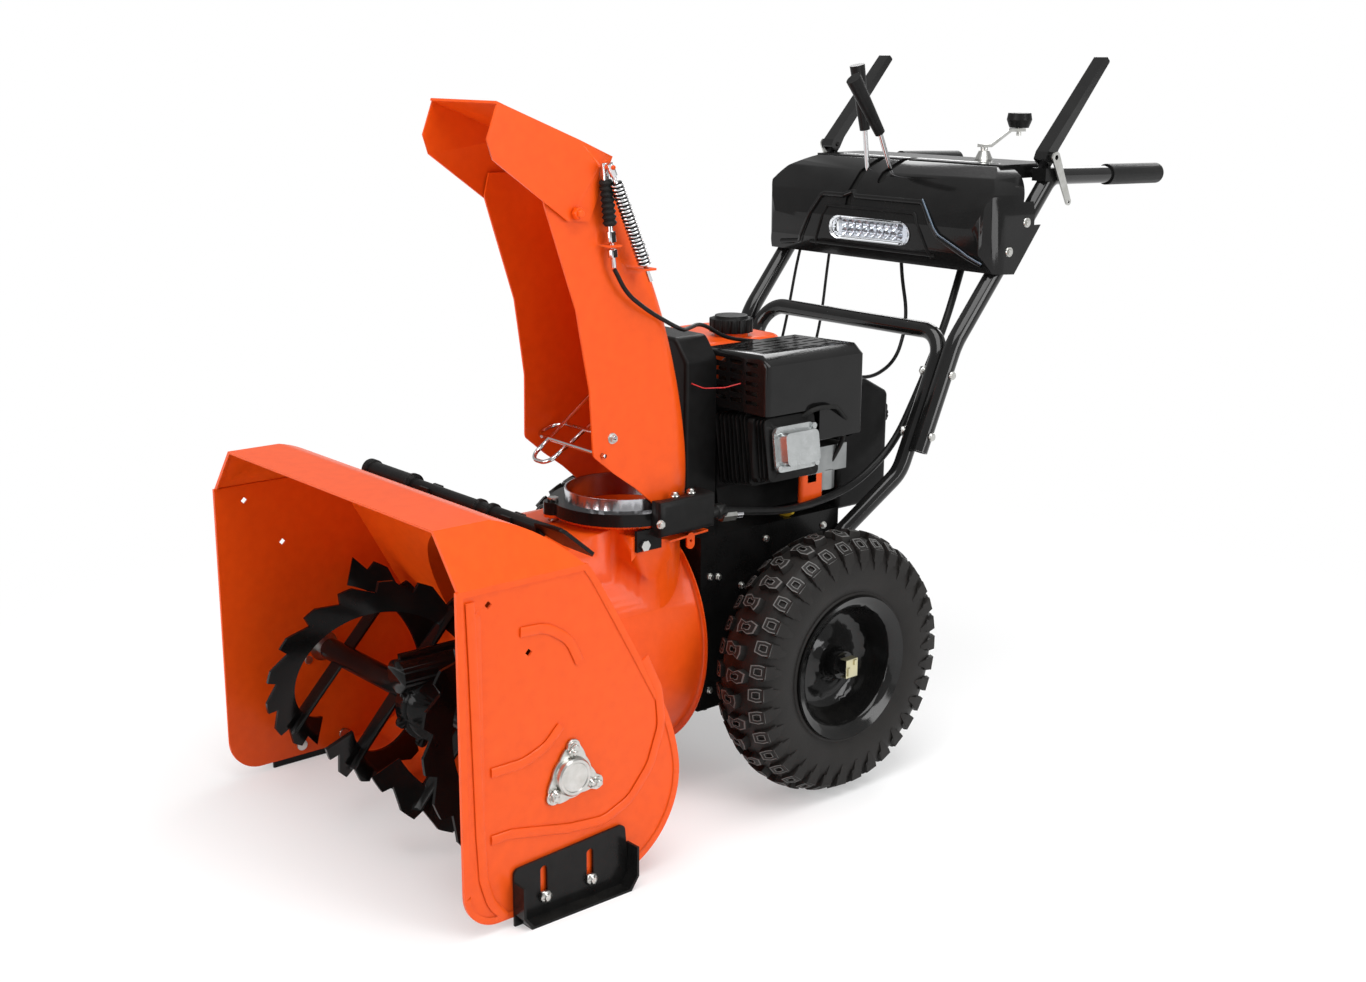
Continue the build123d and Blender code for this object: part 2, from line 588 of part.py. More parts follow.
export_step(shaft_bearings.part, "parts/shaft_bearings.step")

# ================================================================ wheels
# Axle: one steel shaft through the frame, with the final drive gear and a square
# spring pin with a wire loop outside each hub.
PIN_X = TYRE_X + 32.0
with BuildPart() as axle:
    with Locations(Plane.YZ * Location((AXLE_Y, AXLE_Z, 0))):
        Cylinder(SHAFT_R, 2 * (PIN_X + 14))
        Cylinder(62, 14)
axle.part.label = "axle"
export_step(axle.part, "parts/axle.step")

# Rim: pressed steel dish, profile turned about the axle.
def rim_section():
    """Points (outward from the wheel's middle, radius) of the rim's half section."""
    wall = 3.0
    outer = [(-44, RIM_R + 6), (-40, RIM_R - 8), (-8, RIM_R - 14), (22, RIM_R - 14), (40, RIM_R - 8), (47, RIM_R + 6)]
    dish = [(22, RIM_R - 14 - wall), (-6, RIM_R - 26), (-12, 60), (-4, 34), (6, SHAFT_R + 10), (30, SHAFT_R + 8),
            (30, SHAFT_R)]
    back = [(-46, SHAFT_R), (-46, SHAFT_R + 8), (-10, SHAFT_R + 10), (-16, 60), (-12, RIM_R - 18), (-40, RIM_R - 12),
            (-47, RIM_R + 5)]
    front_lip = [(47, RIM_R + 6), (50, RIM_R + 5), (42, RIM_R - 12)]
    return outer + front_lip[1:] + dish + back


def wheel_plane(sign):
    """Plane with local X outwards from the machine and local Y up, on the wheel's middle."""
    return Plane((sign * TYRE_X, AXLE_Y, AXLE_Z), x_dir=(sign, 0, 0), z_dir=(0, -sign, 0))


AXLE_LINE = Axis((0, AXLE_Y, AXLE_Z), (1, 0, 0))
with BuildPart() as wheel_rims:
    for sign in SIDES.values():
        with BuildSketch(wheel_plane(sign)):
            Polygon(*rim_section(), align=None)
        revolve(axis=AXLE_LINE)
wheel_rims.part.label = "wheel_rims"
export_step(wheel_rims.part, "parts/wheel_rims.step")

# Tyres: tubeless carcasses with two staggered rows of tread lugs that wrap over the
# shoulders, trimmed to a rounded crown.
CARCASS = [(-40, RIM_R - 4), (-44, RIM_R + 9), (-49, 135), (-50, 155), (-42, 176), (-26, 187), (0, 189), (26, 187),
           (42, 176), (50, 155), (49, 135), (44, RIM_R + 9), (40, RIM_R - 4), (30, RIM_R + 2), (36, 130), (36, 160),
           (20, 176), (-20, 176), (-36, 160), (-36, 130), (-30, RIM_R + 2)]
LUG = [(3, 184), (3, 202), (51, 202), (51, 162), (46, 160), (39, 172), (22, 183)]
LUG_HALF = 12.0
LUGS = 17                              # lugs in one row
with BuildPart() as tyres:
    for sign in SIDES.values():
        with BuildPart(mode=Mode.PRIVATE) as tread:
            for row in (-1, 1):
                with BuildSketch(wheel_plane(sign)):
                    Polygon(*[(row * x, r) for x, r in LUG], align=None)
                extrude(amount=LUG_HALF, both=True)
            with BuildSketch(wheel_plane(sign)):
                with BuildLine():
                    crown = ThreePointArc((-44, 184), (0, TREAD_R), (44, 184))
                    Polyline(crown @ 1, (50, 160), (50, 100), (-50, 100), (-50, 160), crown @ 0)
                make_face()
            revolve(axis=AXLE_LINE, mode=Mode.INTERSECT)
        lugs = tread.solids()
        with BuildSketch(wheel_plane(sign)):
            Polygon(*CARCASS, align=None)
        revolve(axis=AXLE_LINE)
        for row, lug in enumerate(lugs):
            for k in range(LUGS):
                add(lug.rotate(AXLE_LINE, (k + row / 2) * 360 / LUGS))
tyres.part.label = "tyres"
export_step(tyres.part, "parts/tyres.step")

# ================================================================ engine
# Belt cover: black moulded hood over the engine pulley, ahead of the engine.
COVER_FRONT = FRONT + 547.0
COVER_REAR = FRONT + 606.0
COVER_TOP = 672.0
with BuildPart() as belt_cover:
    with BuildSketch(Plane.XZ.offset(-COVER_REAR)):
        with BuildLine():
            FilletPolyline((-112, DECK_Z + 0.2), (-112, 640), (-70, COVER_TOP), (70, COVER_TOP), (96, 640),
                           (96, DECK_Z + 0.2), radius=16, close=False)
            Line((96, DECK_Z + 0.2), (-112, DECK_Z + 0.2))
        make_face()
    extrude(amount=COVER_REAR - COVER_FRONT)
    fillet(belt_cover.edges().filter_by(Plane.XZ).group_by(Axis.Y)[0].group_by(Axis.Z)[-1], radius=6)
    with BuildSketch(Plane.XZ.offset(-COVER_REAR)):
        with BuildLine():
            FilletPolyline((-108, DECK_Z), (-108, 638), (-68, COVER_TOP - 4), (68, COVER_TOP - 4), (92, 638),
                           (92, DECK_Z), radius=13, close=False)
            Line((92, DECK_Z), (-108, DECK_Z))
        make_face()
    extrude(amount=COVER_REAR - COVER_FRONT - 4, mode=Mode.SUBTRACT)
belt_cover.part.label = "belt_cover"
export_step(belt_cover.part, "parts/belt_cover.step")

# Engine block: crankcase with a sump, and a finned barrel leaning out to the left.
BLOCK_FRONT = FRONT + 612.0
BLOCK_REAR = FRONT + 790.0
BARREL_Y = FRONT + 655.0
BARREL_TILT = 8.0
CRANK_R = 12.5
barrel_plane = Plane((60, BARREL_Y, CRANK_Z + 8), x_dir=(0, 1, 0),
                     z_dir=(cos(radians(BARREL_TILT)), 0, sin(radians(BARREL_TILT))))
with BuildPart() as engine_block:
    with BuildSketch(Plane.XZ.offset(-BLOCK_REAR)):
        with BuildLine():
            FilletPolyline((-100, DECK_Z), (-112, 440), (-100, 560), (-40, 585), (60, 575), (88, 540), (92, 440),
                           (100, DECK_Z), radius=14, close=False)
            Line((100, DECK_Z), (-100, DECK_Z))
        make_face()
    extrude(amount=BLOCK_REAR - BLOCK_FRONT)
    with BuildSketch(barrel_plane):
        RectangleRounded(78, 84, 14)
    extrude(amount=112)
    for k in range(8):
        with BuildSketch(barrel_plane.offset(38 + 9 * k)):
            RectangleRounded(94, 108, 10)
        extrude(amount=3)
    with BuildSketch(Plane.XZ.offset(-BLOCK_REAR)):
        with Locations((0, CRANK_Z)):
            Circle(CRANK_R + FIT)
    extrude(amount=BLOCK_REAR - BLOCK_FRONT, mode=Mode.SUBTRACT)
    # sealed crank chamber
    with BuildSketch(Plane.XZ.offset(-BLOCK_REAR + 14)):
        with Locations((0, CRANK_Z)):
            Circle(70)
    extrude(amount=BLOCK_REAR - BLOCK_FRONT - 28, mode=Mode.SUBTRACT)
engine_block.part.label = "engine_block"
export_step(engine_block.part, "parts/engine_block.step")

# Cylinder head: finned aluminium block on the end of the barrel.
head_plane = barrel_plane.offset(112)
with BuildPart() as cylinder_head:
    with BuildSketch(head_plane):
        RectangleRounded(100, 96, 8)
    extrude(amount=12)
    with BuildSketch(head_plane.offset(12)):
        RectangleRounded(74, 70, 8)
    extrude(amount=30)
    for k in range(3):
        with BuildSketch(head_plane.offset(18 + 8 * k)):
            RectangleRounded(100, 92, 8)
        extrude(amount=3)
cylinder_head.part.label = "cylinder_head"
export_step(cylinder_head.part, "parts/cylinder_head.step")

# Valve cover: pressed lid with a plain raised field and four flange screws.
cover_plane = head_plane.offset(42)
with BuildPart() as valve_cover:
    with BuildSketch(cover_plane):
        RectangleRounded(84, 66, 12)
    extrude(amount=4)
    with BuildSketch(cover_plane.offset(4)):
        RectangleRounded(70, 52, 10)
    extrude(amount=16, taper=8)
    with BuildSketch(cover_plane.offset(4)):
        with GridLocations(74, 54, 2, 2):
            RegularPolygon(5, 6)
    extrude(amount=4)
valve_cover.part.label = "valve_cover"
export_step(valve_cover.part, "parts/valve_cover.step")

# Muffler: rounded pressed can above the cylinder head.
with BuildPart() as muffler:
    with Locations((136, FRONT + 706, 607)):
        Box(112, 172, 66)
    fillet(muffler.edges().filter_by(Axis.Y), radius=20)
    fillet(muffler.faces().sort_by(Axis.Y)[0].edges(), radius=8)
    fillet(muffler.faces().sort_by(Axis.Y)[-1].edges(), radius=8)
muffler.part.label = "muffler"
export_step(muffler.part, "parts/muffler.step")

# Muffler guard: louvred black sheet box round the muffler, open below and towards the
# block, its front part cut higher to clear the cylinder head.
GUARD_X = (62.0, 205.0)
GUARD_Y = (FRONT + 606.5, FRONT + 806.0)
GUARD_Z = (560.0, 655.0)
GUARD_SHEET = 2.5


def guard_outline(inset, bottom):
    """Front view outline of the guard, `inset` mm inside the outer skin."""
    right = GUARD_X[1] - inset
    top = GUARD_Z[1] - inset
    left = GUARD_X[0] - 4 * inset
    with BuildSketch() as outline:
        Polygon((left, bottom[0]), (GUARD_X[1] - 30, bottom[1]), (right, bottom[2]), (right, top - 14),
                (right - 18, top), (left, top - 4), align=None)
    return outline.sketch


with BuildPart() as muffler_guard:
    with BuildSketch(Plane.XZ.offset(-GUARD_Y[1])):
        add(guard_outline(0, (560, 505, 520)))
    extrude(amount=GUARD_Y[1] - GUARD_Y[0])
    fillet(muffler_guard.faces().sort_by(Axis.Y)[0].edges(), radius=8)
    fillet(muffler_guard.faces().sort_by(Axis.Y)[-1].edges(), radius=8)
    with BuildSketch(Plane.XZ.offset(-GUARD_Y[1] + GUARD_SHEET)):
        add(guard_outline(GUARD_SHEET, (470, 470, 470)))
    extrude(amount=GUARD_Y[1] - GUARD_Y[0] - 2 * GUARD_SHEET, mode=Mode.SUBTRACT)
    with Locations((140, GUARD_Y[0] + 52, 500)):
        Box(200, 110, 136, mode=Mode.SUBTRACT)
    # louvre slots in the front wall and the roof
    with BuildSketch(Plane.XZ.offset(-GUARD_Y[0] + 1)):
        with Locations((GUARD_X[0] + 76, 612)):
            with GridLocations(34, 14, 3, 5):
                SlotOverall(26, 6)
    extrude(amount=-5, mode=Mode.SUBTRACT)
    with BuildSketch(Plane.XY.offset(GUARD_Z[1] + 1)):
        with Locations(((GUARD_X[0] + GUARD_X[1]) / 2 - 6, (GUARD_Y[0] + GUARD_Y[1]) / 2)):
            with GridLocations(20, 40, 5, 4):
                SlotOverall(32, 6, rotation=90)
    extrude(amount=-9, mode=Mode.SUBTRACT)
muffler_guard.part.label = "muffler_guard"
export_step(muffler_guard.part, "parts/muffler_guard.step")

# Carburettor: cast body with a float bowl, between the head and the heater box.
with BuildPart() as carburettor:
    with Locations((150, FRONT + 765, 478)):
        Box(44, 84, 40)
    with BuildSketch(Plane.XY.offset(430)):
        with Locations((150, FRONT + 770)):
            Circle(24)
    extrude(amount=30)
    with BuildSketch(Plane.XY.offset(422)):
        with Locations((150, FRONT + 770)):
            RegularPolygon(7, 6)
    extrude(amount=10)
    with Locations(Plane.XZ.offset(-FRONT - 716) * Location((150, 478, 0))):
        Cylinder(20, 16)
carburettor.part.label = "carburettor"
export_step(carburettor.part, "parts/carburettor.step")

# Heater box: black moulded cover behind the carburettor with the choke knob's boss.
BOX_X = (70.0, 150.0)
BOX_Y = (FRONT + 812.0, FRONT + 922.0)
with BuildPart() as carb_cover:
    with BuildSketch(Plane.YZ.offset(BOX_X[0])):
        with BuildLine():
            FilletPolyline((BOX_Y[0], 384), (BOX_Y[0], 578), (BOX_Y[0] + 60, 586), (BOX_Y[1], 560), (BOX_Y[1], 400),
                           (BOX_Y[1] - 40, 384), radius=12, close=False)
            Line((BOX_Y[1] - 40, 384), (BOX_Y[0], 384))
        make_face()
    extrude(amount=BOX_X[1] - BOX_X[0])
    fillet(carb_cover.faces().sort_by(Axis.X)[-1].edges(), radius=8)
    with Locations(Plane.XZ.offset(-BOX_Y[1]) * Location((125, 520, 0))):
        Cylinder(9, 10)
        Cylinder(3.5 + FIT, 30, mode=Mode.SUBTRACT)
carb_cover.part.label = "carb_cover"
export_step(carb_cover.part, "parts/carb_cover.step")

# Choke knob: ribbed knob on a short spindle.
CHOKE = (125.0, BOX_Y[1] + 5.0, 520.0)
with BuildPart() as choke_knob:
    with BuildSketch(Plane.XZ.offset(-CHOKE[1] - 1)):
        with Locations((CHOKE[0], CHOKE[2])):
            Circle(3.5)
    extrude(amount=15)
    with BuildSketch(Plane.XZ.offset(-CHOKE[1] - 0.5)):
        with Locations((CHOKE[0], CHOKE[2])):
            Circle(15)
            with PolarLocations(15, 12):
                Circle(1.5, mode=Mode.SUBTRACT)
    extrude(amount=-6)
    with BuildSketch(Plane.XZ.offset(-CHOKE[1] - 6)):
        with Locations((CHOKE[0], CHOKE[2])):
            SlotOverall(28, 8, rotation=90)
    extrude(amount=-10)
choke_knob.part.label = "choke_knob"
export_step(choke_knob.part, "parts/choke_knob.step")

# Fuel tank: orange pressed tank across the top of the engine.
TANK_X = (-130.0, 46.0)
TANK_Y = (FRONT + 612.0, FRONT + 800.0)
TANK_Z = (590.0, 650.0)
CAP_Y = FRONT + 721.0
NECK_Z = 656.0
with BuildPart() as fuel_tank:
    with Locations(((TANK_X[0] + TANK_X[1]) / 2, (TANK_Y[0] + TANK_Y[1]) / 2, (TANK_Z[0] + TANK_Z[1]) / 2)):
        Box(TANK_X[1] - TANK_X[0], TANK_Y[1] - TANK_Y[0], TANK_Z[1] - TANK_Z[0])
    fillet(fuel_tank.edges().filter_by(Axis.Z), radius=30)
    fillet(fuel_tank.faces().sort_by(Axis.Z)[-1].edges(), radius=14)
    fillet(fuel_tank.faces().sort_by(Axis.Z)[0].edges(), radius=8)
    with BuildSketch(Plane.XY.offset(TANK_Z[1] - 4)):
        with Locations((0, CAP_Y)):
            Circle(26)
    extrude(amount=NECK_Z - TANK_Z[1] + 4)
    with BuildSketch(Plane.XY.offset(NECK_Z)):
        with Locations((0, CAP_Y)):
            Circle(20 + FIT)
    extrude(amount=-24, mode=Mode.SUBTRACT)
fuel_tank.part.label = "fuel_tank"
export_step(fuel_tank.part, "parts/fuel_tank.step")

# Fuel cap: ribbed black bayonet cap.
with BuildPart() as fuel_cap:
    with BuildSketch(Plane.XY.offset(NECK_Z + 0.5)):
        with Locations((0, CAP_Y)):
            Circle(34)
            with PolarLocations(35, 16):
                Circle(3, mode=Mode.SUBTRACT)
    extrude(amount=20)
    with BuildSketch(Plane.XY.offset(NECK_Z + 20.5)):
        with Locations((0, CAP_Y)):
            Circle(27)
    extrude(amount=5, taper=20)
    with BuildSketch(Plane.XY.offset(NECK_Z + 0.5)):
        with Locations((0, CAP_Y)):
            Circle(20)
    extrude(amount=-14)
fuel_cap.part.label = "fuel_cap"
export_step(fuel_cap.part, "parts/fuel_cap.step")

# Fan housing: orange pressed shroud behind the block with the recoil starter on it.
FAN_FRONT = BLOCK_REAR
FAN_REAR = FRONT + 858.0
STARTER_HOLE_X = -60.0
with BuildPart() as fan_housing:
    with BuildSketch(Plane.XZ.offset(-FAN_FRONT)):
        with BuildLine():
            FilletPolyline((-118, 400), (-118, 560), (-60, 584), (40, 584), (64, 540), (64, 400), radius=24, close=False)
            Line((64, 400), (-118, 400))
        make_face()
    extrude(amount=-(FAN_REAR - 22 - FAN_FRONT))
    with BuildSketch(Plane.XZ.offset(-FAN_REAR + 22)):
        with Locations((-20, CRANK_Z)):
            Circle(82)
    extrude(amount=-22, taper=10)
    with BuildSketch(Plane.XZ.offset(-FAN_FRONT - 0.01)):
        with Locations((-20, CRANK_Z)):
            Circle(76)
    extrude(amount=-(FAN_REAR - 26 - FAN_FRONT), mode=Mode.SUBTRACT)
    with Locations(Plane.XZ.offset(-FAN_REAR) * Location((STARTER_HOLE_X, 530, 0))):
        Cylinder(6, 60, mode=Mode.SUBTRACT)
fan_housing.part.label = "fan_housing"
export_step(fan_housing.part, "parts/fan_housing.step")

# Recoil handle: moulded grip at the end of the starter cord.
with BuildPart() as recoil_handle:
    with BuildSketch(Plane.XZ.offset(-FAN_REAR - 2)):
        with Locations((STARTER_HOLE_X, 530)):
            Circle(9)
    extrude(amount=-16, taper=-6)
    with Locations((STARTER_HOLE_X, FAN_REAR + 26, 530)):
        Box(64, 18, 22)
    fillet(recoil_handle.faces().sort_by(Axis.Y)[-1].edges(), radius=6)
    with BuildSketch(Plane.XZ.offset(-FAN_REAR - 4)):
        with Locations((STARTER_HOLE_X, 530)):
            Circle(2.5)
    extrude(amount=14)
recoil_handle.part.label = "recoil_handle"
export_step(recoil_handle.part, "parts/recoil_handle.step")

# Engine pulley: crankshaft end with a two-groove pulley, inside the belt cover.
with BuildPart() as engine_pulley:
    with BuildSketch(Plane((0, BELT_Y, CRANK_Z), x_dir=(1, 0, 0), z_dir=(0, 0, 1))):
        Polygon(*pulley_face(ENGINE_PULLEY_R, CRANK_R - 2, PULLEY_WIDTH, GROOVE, 2), align=None)
    revolve(axis=Axis((0, BELT_Y, CRANK_Z), (0, 1, 0)))
    with BuildSketch(Plane.XZ.offset(-BLOCK_REAR + 4)):
        with Locations((0, CRANK_Z)):
            Circle(CRANK_R)
    extrude(amount=BLOCK_REAR - 4 - BELT_Y + PULLEY_WIDTH / 2)
    with Locations(Plane.XZ.offset(-BLOCK_REAR + 60) * Location((0, CRANK_Z, 0))):
        Cylinder(58, 30)
engine_pulley.part.label = "engine_pulley"
export_step(engine_pulley.part, "parts/engine_pulley.step")

# Drive belts: two V belts between the engine pulley and the impeller pulley.
BELT_DEPTH = 7.0
BELT_WIDTH = 5.2
with BuildPart() as drive_belts:
    for row in (-1, 1):
        with BuildSketch(Plane.XZ.offset(-BELT_Y - row * PULLEY_WIDTH / 4 - BELT_WIDTH / 2)):
            for grow, mode in ((0, Mode.ADD), (-BELT_DEPTH, Mode.SUBTRACT)):
                with BuildSketch(mode=Mode.PRIVATE) as loop:
                    with Locations((0, CRANK_Z)):
                        Circle(ENGINE_PULLEY_R + grow)
                    with Locations((0, IMPELLER_Z)):
                        Circle(IMPELLER_PULLEY_R + grow)
                    make_hull()
                add(loop.sketch, mode=mode)
        extrude(amount=BELT_WIDTH)
drive_belts.part.label = "drive_belts"
export_step(drive_belts.part, "parts/drive_belts.step")

# ================================================================ handlebar
# Lower handle: one tube bent to an inverted U, its feet bolted to the frame's sides.
FOOT = (TUB_HALF + 13.2, FRONT + 700.0, 276.0)
SHIN = (TUB_HALF + 13.2, FRONT + 800.0, 362.0)
KNEE = (204.0, FRONT + 893.0, 443.0)
SHOULDER = (204.0, FRONT + 988.0, 652.0)
LEG_R = 13.0

# Upper handles: tubes bolted outside the legs that run up past the dashboard and bend
# back to the grips.
UPPER_FOOT = (231.2, FRONT + 905.0, 479.0)
KINK = (231.2, FRONT + 977.0, 640.0)
BEND = (235.0, FRONT + 1186.0, 888.0)
GRIP_END = (220.0, LENGTH / 2, 880.0)
SPLICE_BOLTS = [(FRONT + 917, 503.0), (FRONT + 958.5, 594.0)]


def mirrored(sign, point):
    """The point on the wanted side of the machine."""
    return (sign * point[0], point[1], point[2])


def tube(points, radii, radius, wall=0.0):
    """Round tube (or rod, with no wall) along straight runs joined by arcs."""
    with BuildPart() as piece:
        with BuildLine() as path:
            FilletPolyline(*points, radius=radii)
        with BuildSketch(Plane(path.line @ 0, z_dir=path.line % 0)):
            Circle(radius)
            if wall:
                Circle(radius - wall, mode=Mode.SUBTRACT)
        sweep(path=path.line)
    return piece.part


def cord(points, radius):
    """Cable along the points, every corner rounded as widely as its runs allow."""
    radii = []
    for before, corner, after in zip(points, points[1:], points[2:]):
        run_in = Vector(*corner) - Vector(*before)
        run_out = Vector(*after) - Vector(*corner)
        turn = radians(run_in.get_angle(run_out))
        radii.append(0.45 * min(run_in.length, run_out.length) / tan(turn / 2))
    return tube(points, radii, radius)


with BuildPart() as lower_handle:
    left_leg = [mirrored(1, p) for p in (FOOT, SHIN, KNEE, SHOULDER)]
    right_leg = [mirrored(-1, p) for p in (SHOULDER, KNEE, SHIN, FOOT)]
    add(tube(left_leg + right_leg, [60, 70, 45, 45, 70, 60], LEG_R, TUBE_WALL))
    with Locations(*[Plane.YZ * Location((y, z, 0)) for y, z in FOOT_BOLTS + SPLICE_BOLTS]):
        Cylinder(4, 600, mode=Mode.SUBTRACT)
lower_handle.part.label = "lower_handle"
export_step(lower_handle.part, "parts/lower_handle.step")

grip_dir = (Vector(*GRIP_END) - Vector(*BEND)).normalized()
TUBE_END = tuple(Vector(*GRIP_END) - grip_dir * 4.5)
with BuildPart() as upper_handles:
    for sign in SIDES.values():
        add(tube([mirrored(sign, p) for p in (UPPER_FOOT, KINK, BEND, TUBE_END)], [120, 40], TUBE_R, TUBE_WALL))
    with Locations(*[Plane.YZ * Location((y, z, 0)) for y, z in SPLICE_BOLTS]):
        Cylinder(4, 600, mode=Mode.SUBTRACT)
upper_handles.part.label = "upper_handles"
export_step(upper_handles.part, "parts/upper_handles.step")

# Grips: rubber sleeves over the tube ends.
GRIP_LENGTH = 150.0
with BuildPart() as hand_grips:
    for sign in SIDES.values():
        along = Vector(sign * grip_dir.X, grip_dir.Y, grip_dir.Z)
        end = Vector(*mirrored(sign, GRIP_END))
        with BuildSketch(Plane(end - along * 0.5, z_dir=along * -1)):
            Circle(GRIP_R + 1)
        extrude(amount=GRIP_LENGTH)
        with BuildSketch(Plane(end - along * 4.5, z_dir=along * -1)):
            Circle(TUBE_R)
        extrude(amount=GRIP_LENGTH, mode=Mode.SUBTRACT)
hand_grips.part.label = "hand_grips"
export_step(hand_grips.part, "parts/hand_grips.step")

# Dashboard: moulded hood between the handles with a flat console behind it, open
# behind and below, with lever slots, the crank hole and the headlight opening.
DASH_HALF = 253.4
DASH_FRONT = FRONT + 1018.0
DASH_TOP = 907.0
DASH_SHOULDER = 80.0
DASH_WALL = 4.0
DASH_OUTLINE = [(FRONT + 1040, 744), (FRONT + 1024, 772), (FRONT + 1019, 812), (FRONT + 1029, 852),
                (FRONT + 1058, 886), (FRONT + 1098, 903), (FRONT + 1129, DASH_TOP), (FRONT + 1188, 866),
                (FRONT + 1086, 741)]
CONSOLE_HALF = 205.0
CONSOLE_REAR = FRONT + 1232.0
CONSOLE_TOP = 906.0
LAMP = (176.0, 38.0)
LAMP_PLANE = Plane((2, FRONT + 1019.5, 794), x_dir=(1, 0, 0), z_dir=(0, -1, 0.02))
LEVER_SLOTS = [(-50.0, FRONT + 1066.0), (0.0, FRONT + 1090.0)]
CRANK = (90.0, FRONT + 1197.0, CONSOLE_TOP)


def dash_body(inset):
    """Hood between its side view and its plan, `inset` mm inside the outer skin."""
    with BuildPart() as body:
        with BuildSketch(Plane.YZ):
            Polygon(*DASH_OUTLINE, align=None)
            if inset:
                offset(amount=-inset)
        extrude(amount=DASH_HALF - inset, both=True)
        with BuildSketch(Plane.XY.offset(700)) as plan:
            with Locations((0, DASH_FRONT + 100 + inset)):
                Rectangle(2 * (DASH_HALF - inset), 200)
            fillet(plan.vertices().group_by(Axis.Y)[0], radius=44 - inset)
        extrude(amount=300, mode=Mode.INTERSECT)
        with BuildSketch(Plane.XZ.offset(-DASH_FRONT + 50)) as face:
            with Locations((0, (DASH_TOP - inset + 600) / 2)):
                Rectangle(2 * (DASH_HALF - inset), DASH_TOP - inset - 600)
            fillet(face.vertices().group_by(Axis.Y)[-1], radius=DASH_SHOULDER - inset)
        extrude(amount=-500, mode=Mode.INTERSECT)
    return body.part


def console_body(inset):
    """Flat console slab with rounded rear corners."""
    with BuildPart() as body:
        with BuildSketch(Plane.XY.offset(CONSOLE_TOP - inset)) as plan:
            with Locations((0, (FRONT + 1105 + CONSOLE_REAR) / 2)):
                Rectangle(2 * (CONSOLE_HALF - inset), CONSOLE_REAR - FRONT - 1105 - 2 * inset)
            fillet(plan.vertices().group_by(Axis.Y)[-1], radius=30 - inset)
        extrude(amount=-22)
    return body.part


with BuildPart() as dashboard:
    add(dash_body(0))
    add(dash_body(DASH_WALL), mode=Mode.SUBTRACT)
    # open towards the back and below
    with BuildSketch(Plane.YZ):
        Polygon((FRONT + 1045, 749), (FRONT + 1045, 730), (FRONT + 1250, 730), (FRONT + 1250, 930),
                (FRONT + 1129, 930), (FRONT + 1129, 890), align=None)
    extrude(amount=DASH_HALF - DASH_WALL, both=True, mode=Mode.SUBTRACT)
    # notches where the handles come out of the shoulders
    for sign in SIDES.values():
        with Locations((sign * 235, FRONT + 1190, 875)):
            Box(60, 120, 120, mode=Mode.SUBTRACT)
    add(console_body(0))
    add(console_body(DASH_WALL), mode=Mode.SUBTRACT)
    with BuildSketch(LAMP_PLANE.offset(3)):
        SlotOverall(*LAMP)
    extrude(amount=-14, mode=Mode.SUBTRACT)
    with BuildSketch(Plane.XY.offset(830)):
        with Locations(*LEVER_SLOTS):
            SlotOverall(94, 14, rotation=90)
        with Locations((CRANK[0], CRANK[1])):
            Circle(6 + FIT)
    extrude(amount=120, mode=Mode.SUBTRACT)
dashboard.part.label = "dashboard"
export_step(dashboard.part, "parts/dashboard.step")

# Headlight: clear lens tray over a row of lamps, clipped in the dashboard's front.
with BuildPart() as headlight:
    with BuildSketch(LAMP_PLANE.offset(2)):
        SlotOverall(LAMP[0] - 0.2, LAMP[1] - 0.2)
    extrude(amount=-16)
    with BuildSketch(LAMP_PLANE.offset(-3)):
        SlotOverall(LAMP[0] - 6, LAMP[1] - 6)
    extrude(amount=-16, mode=Mode.SUBTRACT)
headlight.part.label = "headlight"
export_step(headlight.part, "parts/headlight.step")


# Shift levers: chrome stems on pivots under the dashboard with long moulded knobs.
def shift_lever(x, pivot, neck, shoulder, top):
    """Lever in the plane x from its pivot through the neck to the knob's top."""
    stem_dir = Vector(0, shoulder[0] - pivot[0], shoulder[1] - pivot[1]).normalized()
    knob_dir = Vector(0, top[0] - neck[0], top[1] - neck[1])
    with BuildPart() as lever:
        with Locations(Plane.YZ.offset(x) * Location((pivot[0], pivot[1], 0))):
            Cylinder(10, 12)
        with BuildSketch(Plane((x, pivot[0], pivot[1]), z_dir=stem_dir)):
            Circle(4)
        extrude(amount=(Vector(0, neck[0], neck[1]) - Vector(0, pivot[0], pivot[1])).length + 4)
        with BuildSketch(Plane((x, neck[0], neck[1]), x_dir=(1, 0, 0), z_dir=knob_dir.normalized())):
            Ellipse(8, 9)
        with BuildSketch(Plane((x, top[0], top[1]), x_dir=(1, 0, 0), z_dir=knob_dir.normalized())):
            Ellipse(11, 14)
        loft()
        with Locations(Plane.YZ.offset(x) * Location((pivot[0], pivot[1], 0))):
            Cylinder(4 + FIT, 14, mode=Mode.SUBTRACT)
    return lever.part


SPEED_PIVOT = (-50.0, FRONT + 1076.0, 835.0)
TILT_PIVOT = (0.0, FRONT + 1096.0, 835.0)
speed_lever = shift_lever(-50, SPEED_PIVOT[1:], (FRONT + 1059, 952), (FRONT + 1059, 952), (FRONT + 1036, 1056))
speed_lever.label = "speed_lever"
export_step(speed_lever, "parts/speed_lever.step")
deflector_lever = shift_lever(0, TILT_PIVOT[1:], (FRONT + 1042, 949), (FRONT + 1042, 949), (FRONT + 976, 1036))
deflector_lever.label = "deflector_lever"
export_step(deflector_lever, "parts/deflector_lever.step")

